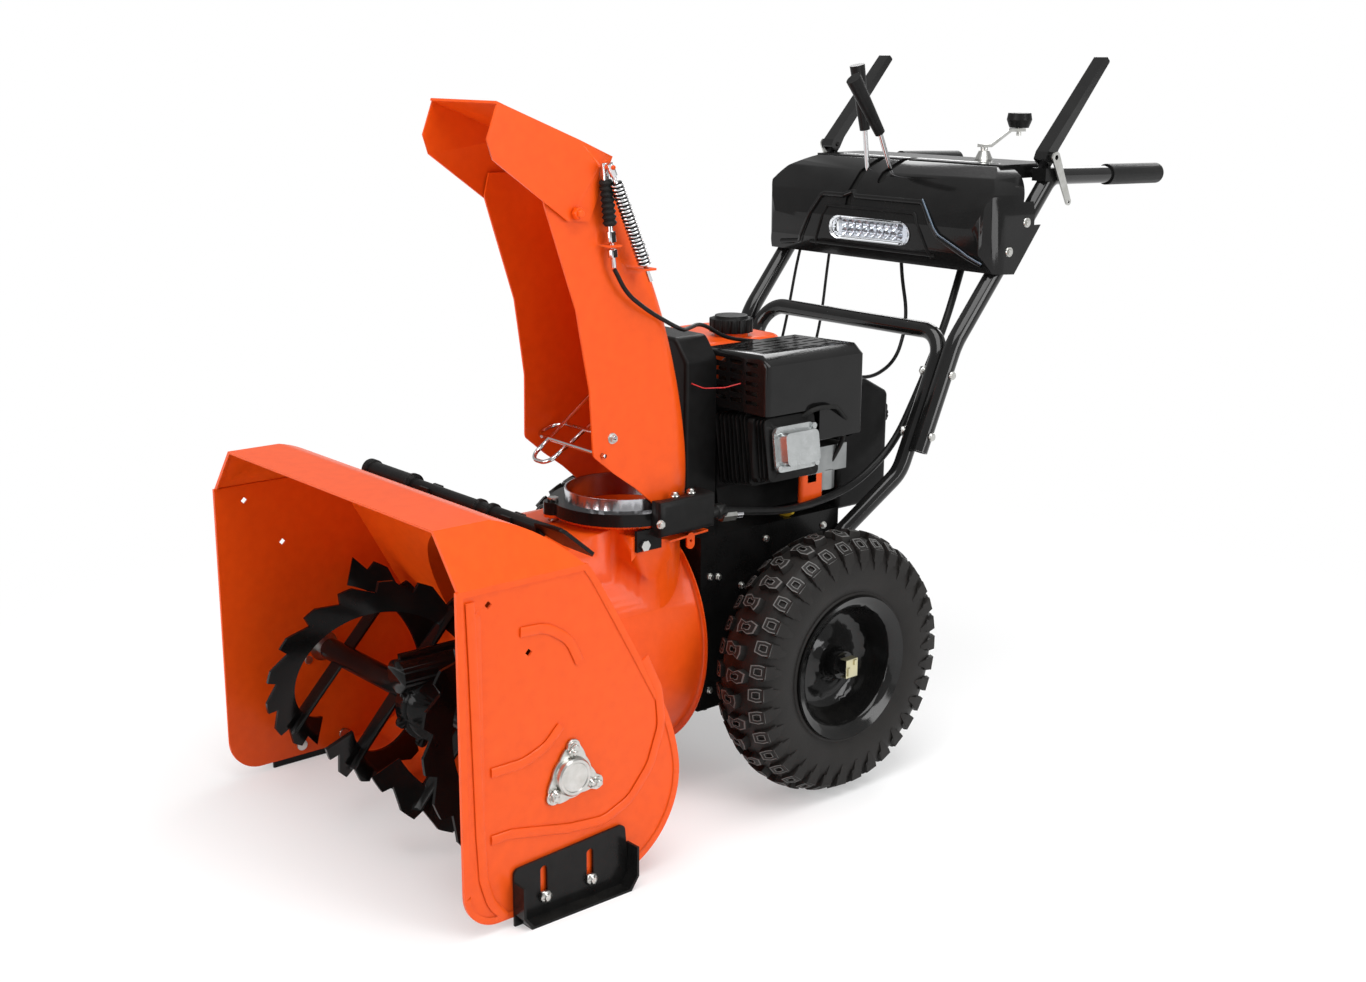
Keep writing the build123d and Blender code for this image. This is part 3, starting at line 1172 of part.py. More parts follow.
# Lever brackets: the pins of the shift levers under the dashboard and, on each upper
# tube, a saddle with an ear and a cross pin for the clutch lever.
CLUTCH_PIVOT = (235.0, FRONT + 1172.0, 918.0)
LEVER_ANGLE = 48.2                     # rise of a released clutch lever, degrees
LEVER_LENGTH = 200.0
upper_tubes = [tube([mirrored(sign, p) for p in (KINK, BEND, TUBE_END)], [40], TUBE_R) for sign in (1, -1)]
with BuildPart() as lever_brackets:
    for sign in SIDES.values():
        with Locations((sign * CLUTCH_PIVOT[0], CLUTCH_PIVOT[1] + 4, 891)):
            Box(27, 36, 20)
        with Locations((sign * CLUTCH_PIVOT[0], CLUTCH_PIVOT[1], 905)):
            Box(14, 12.4, 24)
        with Locations(Plane.YZ.offset(sign * CLUTCH_PIVOT[0]) * Location((CLUTCH_PIVOT[1], CLUTCH_PIVOT[2], 0))):
            Cylinder(6.2, 14)
            Cylinder(4, 26)
    add(upper_tubes, mode=Mode.SUBTRACT)
    for pivot in (SPEED_PIVOT, TILT_PIVOT):
        with Locations(Plane.YZ.offset(pivot[0]) * Location((pivot[1], pivot[2], 0))):
            Cylinder(4, 30)
lever_brackets.part.label = "lever_brackets"
export_step(lever_brackets.part, "parts/lever_brackets.step")

# Clutch levers: pressed channels over the ears with a cable arm on the outer side.
for side, sign in SIDES.items():
    slope = (0, cos(radians(LEVER_ANGLE)), sin(radians(LEVER_ANGLE)))
    pivot = mirrored(sign, CLUTCH_PIVOT)
    with BuildPart() as clutch_lever:
        with BuildSketch(Plane(pivot, x_dir=slope, z_dir=(1, 0, 0))):
            with BuildLine():
                FilletPolyline((-12, 9), (0, 13), (LEVER_LENGTH, 8), (LEVER_LENGTH, -4), (20, -5), (0, -9), (-12, -9),
                               (-12, 9), radius=3, close=False)
            make_face()
        extrude(amount=12, both=True)
        with BuildSketch(Plane(pivot, x_dir=slope, z_dir=(1, 0, 0))):
            Polygon((-14, 6.5), (0, 10), (LEVER_LENGTH - 3, 5), (LEVER_LENGTH - 3, -12), (-14, -12), align=None)
        extrude(amount=9.5, both=True, mode=Mode.SUBTRACT)
        with BuildSketch(Plane.YZ.offset(sign * (CLUTCH_PIVOT[0] + 11))):
            with Locations(CLUTCH_PIVOT[1:]):
                Circle(8)
        extrude(amount=sign * 11)
        with BuildSketch(Plane.YZ.offset(sign * (DASH_HALF + 0.8))):
            with Locations(CLUTCH_PIVOT[1:]):
                Circle(9)
            with Locations((CLUTCH_PIVOT[1] + 37, CLUTCH_PIVOT[2] - 70)):
                Circle(6)
            make_hull()
            with Locations((CLUTCH_PIVOT[1] + 37, CLUTCH_PIVOT[2] - 70)):
                Circle(2.5, mode=Mode.SUBTRACT)
        extrude(amount=sign * 2.8)
        with Locations(Plane.YZ.offset(pivot[0]) * Location((CLUTCH_PIVOT[1], CLUTCH_PIVOT[2], 0))):
            Cylinder(4 + FIT, 60, mode=Mode.SUBTRACT)
    clutch_lever.part.label = f"{side}_clutch_lever"
    export_step(clutch_lever.part, f"parts/{side}_clutch_lever.step")

# Chute crank: shaft with a cone collar on the console and a bent arm.
KNOB = (100.0, FRONT + 1272.0, 955.0)
with BuildPart() as chute_crank:
    with BuildSketch(Plane.XY.offset(CONSOLE_TOP - 30)):
        with Locations((CRANK[0], CRANK[1])):
            Circle(6)
    extrude(amount=52)
    with BuildSketch(Plane.XY.offset(CONSOLE_TOP + 0.3)):
        with Locations((CRANK[0], CRANK[1])):
            Circle(15)
    extrude(amount=14, taper=25)
    arm_dir = Vector(KNOB[0] - CRANK[0], KNOB[1] - CRANK[1], 0).normalized()
    with BuildSketch(Plane((CRANK[0], CRANK[1], CONSOLE_TOP + 22), x_dir=arm_dir, z_dir=arm_dir.cross(Vector(0, 0, 1)))):
        Polygon((-8, -2), (10, -2), (52, 22), (84, 22), (84, 27), (50, 27), (8, 3), (-8, 3), align=None)
    extrude(amount=8, both=True)
    with BuildSketch(Plane.XY.offset(KNOB[2] - 12)):
        with Locations((KNOB[0], KNOB[1])):
            Circle(4)
    extrude(amount=32)
chute_crank.part.label = "chute_crank"
export_step(chute_crank.part, "parts/chute_crank.step")

# Crank knob: black grip turning on the crank's pin.
with BuildPart() as crank_knob:
    with BuildSketch(Plane.XY.offset(KNOB[2] + 1)):
        with Locations((KNOB[0], KNOB[1])):
            Circle(16)
    with BuildSketch(Plane.XY.offset(KNOB[2] + 14)):
        with Locations((KNOB[0], KNOB[1])):
            Circle(21)
    with BuildSketch(Plane.XY.offset(KNOB[2] + 25)):
        with Locations((KNOB[0], KNOB[1])):
            Circle(19)
    loft(ruled=True)
    with BuildSketch(Plane.XY.offset(KNOB[2])):
        with Locations((KNOB[0], KNOB[1])):
            Circle(4 + FIT)
    extrude(amount=21, mode=Mode.SUBTRACT)
crank_knob.part.label = "crank_knob"
export_step(crank_knob.part, "parts/crank_knob.step")

# ================================================================ chute
# Base ring: black guide ring bolted on the drum's flange, it holds the chute ring down.
with BuildPart() as chute_base_ring:
    with BuildSketch(Plane.XY.offset(BASE_Z)):
        with Locations((CHUTE_X, CHUTE_Y)):
            Circle(BASE_R)
            for angle in LUG_ANGLES:
                with PolarLocations(LUG_PCR, 1, start_angle=angle):
                    Circle(14)
            Circle(RING_R + 0.4, mode=Mode.SUBTRACT)
            for angle in LUG_ANGLES:
                with PolarLocations(LUG_PCR, 1, start_angle=angle):
                    Circle(4.2, mode=Mode.SUBTRACT)
    extrude(amount=BASE_TOP - BASE_Z)
    with BuildSketch(Plane.XY.offset(BASE_Z)):
        with Locations((CHUTE_X, CHUTE_Y)):
            Circle(RING_R + 12.4)
    extrude(amount=5.8, mode=Mode.SUBTRACT)
chute_base_ring.part.label = "chute_base_ring"
export_step(chute_base_ring.part, "parts/chute_base_ring.step")

# Chute ring: rolled steel collar with a notched flange that turns in the base ring.
with BuildPart() as chute_ring:
    with BuildSketch(Plane.XY.offset(BASE_Z + 0.4)):
        with Locations((CHUTE_X, CHUTE_Y)):
            Circle(RING_R - 0.05)
            Circle(RING_R - 2.5, mode=Mode.SUBTRACT)
    extrude(amount=RING_TOP - BASE_Z - 0.4)
    with BuildSketch(Plane.XY.offset(BASE_Z + 0.4)):
        with Locations((CHUTE_X, CHUTE_Y)):
            Circle(RING_R + 12)
            Circle(RING_R - 2.5, mode=Mode.SUBTRACT)
            with PolarLocations(RING_R + 12.5, 36):
                Circle(2.2, mode=Mode.SUBTRACT)
    extrude(amount=5)
chute_ring.part.label = "chute_ring"
export_step(chute_ring.part, "parts/chute_ring.step")

# Gear case: black box beside the base ring over the worm that turns the chute.
CASE_Y = (FRONT + 406.0, FRONT + 506.0)
UNION = (200.0, FRONT + 506.0, 443.0)
with BuildPart() as chute_gear_case:
    with Locations((179, (CASE_Y[0] + CASE_Y[1]) / 2, 450)):
        Box(66, CASE_Y[1] - CASE_Y[0], 50)
    fillet(chute_gear_case.faces().sort_by(Axis.X)[-1].edges(), radius=9)
    with BuildSketch(Plane.XY.offset(BASE_Z - FLANGE_SHEET - 0.3)):
        with Locations((CHUTE_X, CHUTE_Y)):
            Circle(BASE_R + 0.3)
    extrude(amount=60, mode=Mode.SUBTRACT)
    with BuildSketch(Plane.XY.offset(400)):
        with Locations((CHUTE_X, CHUTE_Y)):
            Circle(NECK_R + 6)
    extrude(amount=60, mode=Mode.SUBTRACT)
    with Locations((BRACKET_X + 2.6, FRONT + 406, 418)):
        Box(5, 44, 30)
    with Locations(Plane.YZ.offset(BRACKET_X) * Location((FRONT + 396, 412, 0))):
        Cylinder(4.2, 30, mode=Mode.SUBTRACT)
    with BuildSketch(Plane.XZ.offset(-CASE_Y[1])):
        with Locations((UNION[0], UNION[2])):
            Circle(9)
    extrude(amount=30, mode=Mode.SUBTRACT)
chute_gear_case.part.label = "chute_gear_case"
export_step(chute_gear_case.part, "parts/chute_gear_case.step")

# Chute body: pressed orange channel, round over the ring and D-shaped above, open in
# front, with a stud on each side for the deflector.
# Each row: height, half width, rear wall, corner radius.
CHUTE_SECTIONS = [(457.5, 86, 519, 80), (600, 77.5, 498, 45), (693, 73.5, 473, 35), (778, 71, 441, 30), (869, 69, 393, 25),
                  (917, 67, 366, 22)]
CHUTE_SHEET = 3.0
LINK_X = CHUTE_X + 84.0                # lines of the deflector's cable end and spring
SPRING_X = CHUTE_X + 97.0
WIRE_HOLES = [(FRONT + 353.2, 568.6), (FRONT + 335, 546)]
TILT_Y = FRONT + 298.0
TILT_Z = 872.0


def chute_solid(inset, stretch):
    """Solid through the chute's sections, `inset` mm inside its outer skin."""
    with BuildPart() as body:
        for row, (z, half, rear, corner) in enumerate(CHUTE_SECTIONS):
            shift = stretch * ((row == len(CHUTE_SECTIONS) - 1) - (row == 0))
            with BuildSketch(Plane.XY.offset(z + shift)) as section:
                with Locations((CHUTE_X, FRONT + (150 + rear - inset) / 2)):
                    Rectangle(2 * (half - inset), rear - inset - 150)
                fillet(section.vertices().group_by(Axis.Y)[-1], radius=corner - inset)
        loft()
    return body.part


with BuildPart() as chute_body:
    add(chute_solid(0, 0))
    add(chute_solid(CHUTE_SHEET, 6), mode=Mode.SUBTRACT)
    with BuildSketch(Plane.YZ.offset(CHUTE_X)):
        with BuildLine():
            FilletPolyline((FRONT + 440, 440), (FRONT + 425, 462), (FRONT + 389, 493), (FRONT + 354, 518), (FRONT + 320, 546),
                           (FRONT + 318, 636), (FRONT + 300, 744), (FRONT + 252, 886), (FRONT + 262, 930),
                           (FRONT + 100, 930), radius=12, close=False)
            Polyline((FRONT + 100, 930), (FRONT + 100, 440), (FRONT + 440, 440))
        make_face()
    extrude(amount=120, both=True, mode=Mode.SUBTRACT)
    for side in (-1, 1):
        with BuildSketch(Plane.YZ.offset(CHUTE_X + side * 66)):
            with Locations((TILT_Y, TILT_Z)):
                Circle(5)
        extrude(amount=side * 16)
        with BuildSketch(Plane.YZ.offset(CHUTE_X + side * 77)):
            with Locations((TILT_Y, TILT_Z)):
                RegularPolygon(8.5, 6)
        extrude(amount=side * 6)
    # room for the ring, and the wire guard's holes
    with BuildSketch(Plane.XY.offset(440)):
        with Locations((CHUTE_X, CHUTE_Y)):
            Circle(RING_R)
    extrude(amount=RING_TOP + 0.5 - 440, mode=Mode.SUBTRACT)
    with BuildSketch(Plane.YZ.offset(CHUTE_X)):
        with Locations(*WIRE_HOLES):
            Circle(3.6)
    extrude(amount=100, mode=Mode.SUBTRACT)
    # tabs on the left wall: the cable's above, the spring rod's below
    for x, y, z, hole in ((LINK_X, 349.8, 826, 3.7), (SPRING_X, 397.5, 793, 4.2)):
        with BuildSketch(Plane.XY.offset(z)):
            with Locations(((CHUTE_X + 68 + x + 8) / 2, FRONT + y)):
                Rectangle(x + 8 - CHUTE_X - 68, 22)
            with Locations((x, FRONT + y)):
                Circle(hole, mode=Mode.SUBTRACT)
        extrude(amount=3)
chute_body.part.label = "chute_body"
export_step(chute_body.part, "parts/chute_body.step")

# Deflector: folded orange hood that tips on the chute's studs.
DEFLECTOR_SIDE = [(180, 1014), (163, 969), (171, 944), (286, 862), (320, 860), (359, 942), (305, 965)]
DEFLECTOR_HALF = 74.5
PIN = (FRONT + 338.0, 930.0)           # where the cable and the spring pull
with BuildPart() as deflector:
    with BuildSketch(Plane.YZ.offset(CHUTE_X)):
        Polygon(*[(FRONT + y, z) for y, z in DEFLECTOR_SIDE], align=None)
    extrude(amount=DEFLECTOR_HALF, both=True)
    with BuildSketch(Plane.YZ.offset(CHUTE_X)):
        Polygon((FRONT + 150, 1022.5), (FRONT + 304, 962), (FRONT + 357, 939), (FRONT + 390, 926), (FRONT + 390, 840),
                (FRONT + 150, 840), align=None)
    extrude(amount=DEFLECTOR_HALF - CHUTE_SHEET, both=True, mode=Mode.SUBTRACT)
    # flanged lip
    with BuildSketch(Plane.YZ.offset(CHUTE_X)):
        Polygon((FRONT + 178, 1015), (FRONT + 188, 1011), (FRONT + 187, 1008), (FRONT + 177, 1012), align=None)
    extrude(amount=DEFLECTOR_HALF, both=True)
    with Locations(Plane.YZ.offset(CHUTE_X) * Location((TILT_Y, TILT_Z, 0))):
        Cylinder(5 + FIT, 200, mode=Mode.SUBTRACT)
    with BuildSketch(Plane.YZ.offset(CHUTE_X + DEFLECTOR_HALF - 1)):
        with Locations(PIN):
            Circle(3)
    extrude(amount=30)
deflector.part.label = "deflector"
export_step(deflector.part, "parts/deflector.step")

# Deflector link: the spring on its rod, and the cable's end with its bellows and
# adjuster, both between the deflector's pin and the chute's bracket.


def link_rod(x, start, end, stages):
    """Stepped round piece from start towards end, stages of (from, to, radius)."""
    along = Vector(0, end[0] - start[0], end[1] - start[1]).normalized()
    with BuildPart() as rod:
        for near, far, radius in stages:
            with BuildSketch(Plane(Vector(x, *start) + along * near, z_dir=along)):
                Circle(radius)
            extrude(amount=far - near)
    return rod.part


with BuildPart() as deflector_link:
    add(link_rod(SPRING_X, PIN, (FRONT + 405, 778), [(-5, 12, 5), (12, 166, 3), (22, 140, 7.5)]))
    add(link_rod(LINK_X, PIN, (FRONT + 350, 826), [(-5, 20, 4.5), (20, 62, 7), (62, 132, 3.5), (84, 98, 6.5), (108, 118, 6.5)]))
    with Locations(Plane.YZ.offset(CHUTE_X + 80) * Location((PIN[0], PIN[1], 0))):
        Cylinder(3 + FIT, 80, mode=Mode.SUBTRACT)
deflector_link.part.label = "deflector_link"
export_step(deflector_link.part, "parts/deflector_link.step")

# Wire guard: two welded hairpins of bright wire low in the chute's mouth.
GUARD_WIRE = 3.0
with BuildPart() as wire_guard:
    add(tube([(176, FRONT + 352, 569), (17, FRONT + 377, 561), (17, FRONT + 334, 550), (176, FRONT + 335, 546)],
             [18, 18], GUARD_WIRE))
    add(tube([(50, FRONT + 440, 626), (50, FRONT + 301, 525), (90, FRONT + 302, 525), (90, FRONT + 440, 608)],
             [16, 16], GUARD_WIRE))
wire_guard.part.label = "wire_guard"
export_step(wire_guard.part, "parts/wire_guard.step")

# Clean-out tool: black moulded stick with a grip at one end and a blade at the other.
TOOL = (FRONT + 208.0, 472.0)
TOOL_R = 10.0
with BuildPart() as cleanout_tool:
    for start, end, radius in ((-150, 205, TOOL_R), (-215, -110, 13.5), (-226, -215, 16), (-110, -104, 16),
                               (60, 66, 13), (90, 96, 13)):
        with BuildSketch(Plane.YZ.offset(start)):
            with Locations(TOOL):
                Circle(radius)
        extrude(amount=end - start)
    with BuildSketch(Plane(origin=(200, *TOOL), x_dir=(1, 0, 0), z_dir=(0, 0.64, 0.77))):
        Polygon((0, -9), (22, -30), (80, -34), (86, -28), (86, 28), (80, 34), (22, 30), (0, 9), align=None)
    extrude(amount=2.5, both=True)
cleanout_tool.part.label = "cleanout_tool"
export_step(cleanout_tool.part, "parts/cleanout_tool.step")

# Tool clips: two open saddles on the housing's back that the stick drops into.
with BuildPart() as tool_clips:
    for x in (-60, 140):
        with BuildSketch(Plane.YZ.offset(x - 11)):
            with Locations((TOOL[0], TOOL[1] - 22)):
                Rectangle(27, 58)
            with Locations(TOOL):
                Circle(TOOL_R + FIT, mode=Mode.SUBTRACT)
            with Locations((TOOL[0], TOOL[1] + 15)):
                Rectangle(2 * (TOOL_R + FIT), 30, mode=Mode.SUBTRACT)
        extrude(amount=22)
    add(housing_body(WRAP_EDGE, 0), mode=Mode.SUBTRACT)
tool_clips.part.label = "tool_clips"
export_step(tool_clips.part, "parts/tool_clips.step")

# ================================================================ bolts and cables
# Frame bolts: through the handle splices and feet, the base ring's lugs and the gear
# case's foot.  Each has a head, a shank and a nut.
SHANK_R = 3.95
with BuildPart() as frame_bolts:
    for sign in SIDES.values():
        for spots, inner, outer in ((SPLICE_BOLTS, KNEE[0] - LEG_R, UPPER_FOOT[0] + TUBE_R),
                                    (FOOT_BOLTS, TUB_HALF - SHEET, FOOT[0] + LEG_R)):
            with BuildSketch(Plane.YZ.offset(sign * (inner - 9))):
                with Locations(*spots):
                    Circle(SHANK_R)
            extrude(amount=sign * (outer - inner + 11))
            with BuildSketch(Plane.YZ.offset(sign * outer)):
                with Locations(*spots):
                    Circle(7.5)
            extrude(amount=sign * 4, taper=25)
            with BuildSketch(Plane.YZ.offset(sign * inner)):
                with Locations(*spots):
                    RegularPolygon(8, 6)
            extrude(amount=-sign * 6)
    for angle in LUG_ANGLES:
        spot = (CHUTE_X + LUG_PCR * cos(radians(angle)), CHUTE_Y + LUG_PCR * sin(radians(angle)))
        for start, height, radius in ((BASE_TOP, 5.5, 8), (BASE_Z - FLANGE_SHEET, -6.5, 8)):
            with BuildSketch(Plane.XY.offset(start)):
                with Locations(spot):
                    RegularPolygon(radius, 6)
            extrude(amount=height)
        with BuildSketch(Plane.XY.offset(BASE_Z - FLANGE_SHEET - 8)):
            with Locations(spot):
                Circle(SHANK_R)
        extrude(amount=BASE_TOP - BASE_Z + FLANGE_SHEET + 11)
    with BuildSketch(Plane.YZ.offset(BRACKET_X - 12)):
        with Locations((FRONT + 396, 412)):
            Circle(SHANK_R)
    extrude(amount=19)
    with BuildSketch(Plane.YZ.offset(BRACKET_X + 5.1)):
        with Locations((FRONT + 396, 412)):
            RegularPolygon(8, 6)
    extrude(amount=5.5)
frame_bolts.part.label = "frame_bolts"
export_step(frame_bolts.part, "parts/frame_bolts.step")

# Control cables: the crank's flexible shaft with its union at the gear case, and the
# two clutch cables from the dashboard down to the frame's rear wall.
SHAFT_PATH = [(92, FRONT + 1197, 872), (112, FRONT + 1150, 802), (150, FRONT + 1081, 736), (170, FRONT + 1024, 655),
              (172, FRONT + 968, 562), (172, FRONT + 915, 480), (172, FRONT + 835, 430), (178, FRONT + 745, 415),
              (196, FRONT + 655, 420), (200, FRONT + 572, 434), (200, FRONT + 524, 443)]
CLUTCH_PATHS = [[(-195, FRONT + 1078, 800), (-197, FRONT + 1054, 725), (-195, FRONT + 1030, 625),
                 (-180, FRONT + 985, 530), (-150, FRONT + 935, 452), (-105, FRONT + 870, 398),
                 (-60, FRONT + 803.2, 378)],
                [(-150, FRONT + 1096, 800), (-152, FRONT + 1084, 722), (-147, FRONT + 1066, 622),
                 (-133, FRONT + 1020, 528), (-108, FRONT + 955, 450), (-65, FRONT + 880, 398),
                 (-20, FRONT + 803.2, 378)]]
with BuildPart() as control_cables:
    add(cord(SHAFT_PATH, 6))
    with BuildSketch(Plane.XZ.offset(-UNION[1] + 28)):
        with Locations((UNION[0], UNION[2])):
            Circle(8.9)
    extrude(amount=-36)
    with BuildSketch(Plane.XZ.offset(-UNION[1] - 8)):
        with Locations((UNION[0], UNION[2])):
            RegularPolygon(12, 6)
    extrude(amount=-14)
    for points in CLUTCH_PATHS:
        add(cord(points, 2.5))
control_cables.part.label = "control_cables"
export_step(control_cables.part, "parts/control_cables.step")

# Deflector cable: from the deflector lever round the engine to the chute's bracket.
CABLE_PATH = [(10, FRONT + 1092, 800), (24, FRONT + 1078, 728), (58, FRONT + 1062, 650), (82, FRONT + 1010, 588),
              (88, FRONT + 940, 566), (72, FRONT + 868, 590), (54, FRONT + 806, 636), (54, FRONT + 730, 646),
              (56, FRONT + 660, 658), (72, FRONT + 596, 690), (112, FRONT + 536, 692), (166, FRONT + 478, 702),
              (176, FRONT + 412, 735), (LINK_X + 1, FRONT + 374, 762), (LINK_X, FRONT + 353.8, 796.5)]
with BuildPart() as deflector_cable:
    add(cord(CABLE_PATH, 3))
deflector_cable.part.label = "deflector_cable"
export_step(deflector_cable.part, "parts/deflector_cable.step")
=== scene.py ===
import math

import bmesh
import bpy
from mathutils import Matrix, Vector
from mathutils.bvhtree import BVHTree


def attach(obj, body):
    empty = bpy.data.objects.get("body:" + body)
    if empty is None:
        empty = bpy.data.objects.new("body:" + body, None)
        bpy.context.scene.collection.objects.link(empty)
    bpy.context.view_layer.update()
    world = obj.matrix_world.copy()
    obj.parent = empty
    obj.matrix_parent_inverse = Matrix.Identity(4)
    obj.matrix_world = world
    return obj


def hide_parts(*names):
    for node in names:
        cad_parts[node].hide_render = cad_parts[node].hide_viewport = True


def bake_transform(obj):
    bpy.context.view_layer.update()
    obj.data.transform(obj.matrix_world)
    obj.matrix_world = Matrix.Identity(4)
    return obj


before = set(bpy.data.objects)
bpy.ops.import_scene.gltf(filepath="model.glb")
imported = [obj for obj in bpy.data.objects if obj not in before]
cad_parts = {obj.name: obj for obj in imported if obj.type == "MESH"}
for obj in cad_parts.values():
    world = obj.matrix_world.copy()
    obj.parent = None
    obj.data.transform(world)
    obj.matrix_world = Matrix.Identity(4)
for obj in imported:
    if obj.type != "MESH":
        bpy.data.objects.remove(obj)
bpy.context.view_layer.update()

# Front housing: 2 mm steel sheet, one wrap folded over the roof, back and sole, with a
# pressed plate welded on at each end. Powder coated gloss orange inside and out.


def meshed(name, bm):
    """The mesh that was being built, finished and named."""
    mesh = bpy.data.meshes.new(name)
    bm.to_mesh(mesh)
    bm.free()
    return mesh


def placed(name, mesh):
    """An object for this mesh, at the origin."""
    obj = bpy.data.objects.new(name, mesh)
    bpy.context.scene.collection.objects.link(obj)
    return obj


def gathered(name, node):
    """A copy of the named solid with its doubled points merged."""
    bm = bmesh.new()
    bm.from_mesh(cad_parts[node].data)
    bmesh.ops.remove_doubles(bm, verts=bm.verts, dist=2e-6)
    return placed(name, meshed(name, bm))


def settled(obj):
    """Turns what the modifiers make into the object's own plain mesh."""
    graph = bpy.context.evaluated_depsgraph_get()
    mesh = bpy.data.meshes.new_from_object(obj.evaluated_get(graph))
    obj.modifiers.clear()
    obj.data = mesh
    return obj


def smoothed(obj, angle=32.0):
    """Soft shading that leaves flats flat, with crisp folds above the angle."""
    obj.data.shade_smooth()
    obj.data.set_sharp_from_angle(angle=math.radians(angle))
    flats = obj.modifiers.new("flats", "WEIGHTED_NORMAL")
    flats.keep_sharp = True
    flats.weight = 100
    return settled(obj)


def coated(obj, material):
    """Gives a piece one finish all over."""
    obj.data.materials.clear()
    obj.data.materials.append(material)
    return obj


def hung(obj, body, slot, material, *nodes):
    """Gives a finished piece its coat and its body, in place of the named solids."""
    coated(obj, material)
    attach(obj, body)
    if nodes:
        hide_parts(*nodes)
    return obj


def rounded(obj, width, segments=2):
    """Rounds the piece's sharp edges over by this much."""
    fold = obj.modifiers.new("fold", "BEVEL")
    fold.width = width
    fold.segments = segments
    return fold


def dressed(node, body, slot, material, angle=32.0, round_over=0.0):
    """The usual case: the solid itself, merged, its folds rounded over, smoothed and coated."""
    obj = gathered(f"{node}_skin", node)
    if round_over:
        fold = rounded(obj, round_over)
        fold.angle_limit = math.radians(40)
        fold.use_clamp_overlap = True
        obj = settled(obj)
    return hung(smoothed(obj, angle), body, slot, material, node)


def second_coat(obj, material, wanted):
    """Gives the faces whose middle passes the test another finish."""
    obj.data.materials.append(material)
    for face in obj.data.polygons:
        if wanted(face.center):
            face.material_index = len(obj.data.materials) - 1
    return obj


def shader_group(name, inputs, outputs):
    """An empty shader group with named sockets, what comes into it and what goes out."""
    group = bpy.data.node_groups.new(name, "ShaderNodeTree")
    for label, kind, value in inputs:
        socket = group.interface.new_socket(label, in_out="INPUT", socket_type=kind)
        if value is not None:
            socket.default_value = value
    for label, kind in outputs:
        group.interface.new_socket(label, in_out="OUTPUT", socket_type=kind)
    return group, group.nodes.new("NodeGroupInput").outputs, group.nodes.new("NodeGroupOutput").inputs


def wired(tree, kind, links=(), **values):
    """A node with its settings given by name, and its sockets set, or fed by a socket or a node."""
    node = tree.nodes.new(kind)
    for key, value in values.items():
        setattr(node, key, value)
    for socket, value in links:
        if isinstance(value, bpy.types.Node):
            value = value.outputs[0]
        if isinstance(value, bpy.types.NodeSocket):
            tree.links.new(value, node.inputs[socket])
        else:
            node.inputs[socket].default_value = value
    return node


def maths(tree, operation, first, second, **values):
    """A node that works out one number from two."""
    return wired(tree, "ShaderNodeMath", [(0, first), (1, second)], operation=operation, **values)


def ranged(tree, value, low=0.0, high=1.0, to_low=0.0, to_high=1.0, **values):
    """A node that maps one range of a value on to another."""
    limits = [(1, low), (2, high), (3, to_low), (4, to_high)]
    return wired(tree, "ShaderNodeMapRange", [(0, value), *limits], **values)


def noise(tree, at, scale, detail, roughness=0.5):
    """A cloudy pattern that changes with the place."""
    return wired(tree, "ShaderNodeTexNoise", links=[
        ("Vector", at), ("Scale", scale), ("Detail", detail), ("Roughness", roughness)])


def tinted(tree, share, first, second):
    """The colour that lies this share of the way from the first to the second."""
    links = [("Factor", share), (6, first), (7, second)]
    return wired(tree, "ShaderNodeMix", links, data_type="RGBA").outputs[2]


FLOAT, VECTOR = "NodeSocketFloat", "NodeSocketVector"

# settled dust: on faces that look up, and more of it near the ground
sockets = [("Place", VECTOR, None), ("Facing", VECTOR, None), ("Height", FLOAT, 0.5), ("Amount", FLOAT, 0.3)]
dust, into, out = shader_group("settled dust", sockets, [("Mask", FLOAT)])
_facing = wired(dust, "ShaderNodeSeparateXYZ", [(0, into["Facing"])])
_place = wired(dust, "ShaderNodeSeparateXYZ", [(0, into["Place"])])
_up = ranged(dust, _facing.outputs[2], 0.1, 1.0, 0.15, 1.0)
_low = ranged(dust, _place.outputs[2], into["Height"], 0.0, 0.12, 1.0)
_cloud = noise(dust, into["Place"], 9.0, 7.0, 0.68)
_patch = ranged(dust, _cloud, 0.38, 0.72)
_where = maths(dust, "MULTIPLY", _up, _low)
_patchy = maths(dust, "MULTIPLY", _where, _patch)
_settled = maths(dust, "MULTIPLY", _patchy, into["Amount"], use_clamp=True)
dust.links.new(_settled.outputs[0], out["Mask"])

# fine grain: the orange peel of a coat, or the pebble of a moulding
sockets = [("Place", VECTOR, None), ("Scale", FLOAT, 300.0), ("Wave", FLOAT, 30.0), ("Share", FLOAT, 0.5)]
grain, into, out = shader_group("fine grain", sockets, [("Height", FLOAT), ("Mottle", FLOAT)])
_fine = noise(grain, into["Place"], into["Scale"], 3.0)
_broad = noise(grain, into["Place"], into["Wave"], 4.0)
_mix = wired(grain, "ShaderNodeMix", [("Factor", into["Share"]), ("A", _broad), ("B", _fine)])
grain.links.new(_mix.outputs[0], out["Height"])
_blot = ranged(grain, _broad, 0.3, 0.7)
grain.links.new(_blot.outputs[0], out["Mottle"])

# handling marks: short hair scratches that dull the gloss
sockets = [("Place", VECTOR, None), ("Scale", FLOAT, 14.0), ("Amount", FLOAT, 0.3)]
marks, into, out = shader_group("handling marks", sockets, [("Mask", FLOAT)])
_turned = wired(marks, "ShaderNodeMapping", links=[
    (0, into["Place"]), ("Rotation", (0.5, 0.4, 0.9)), ("Scale", (1.0, 26.0, 7.0))])
_hair = noise(marks, _turned, into["Scale"], 5.0, 0.75)
_thin = ranged(marks, _hair, 0.63, 0.72)
_some = maths(marks, "MULTIPLY", _thin, into["Amount"], use_clamp=True)
marks.links.new(_some.outputs[0], out["Mask"])


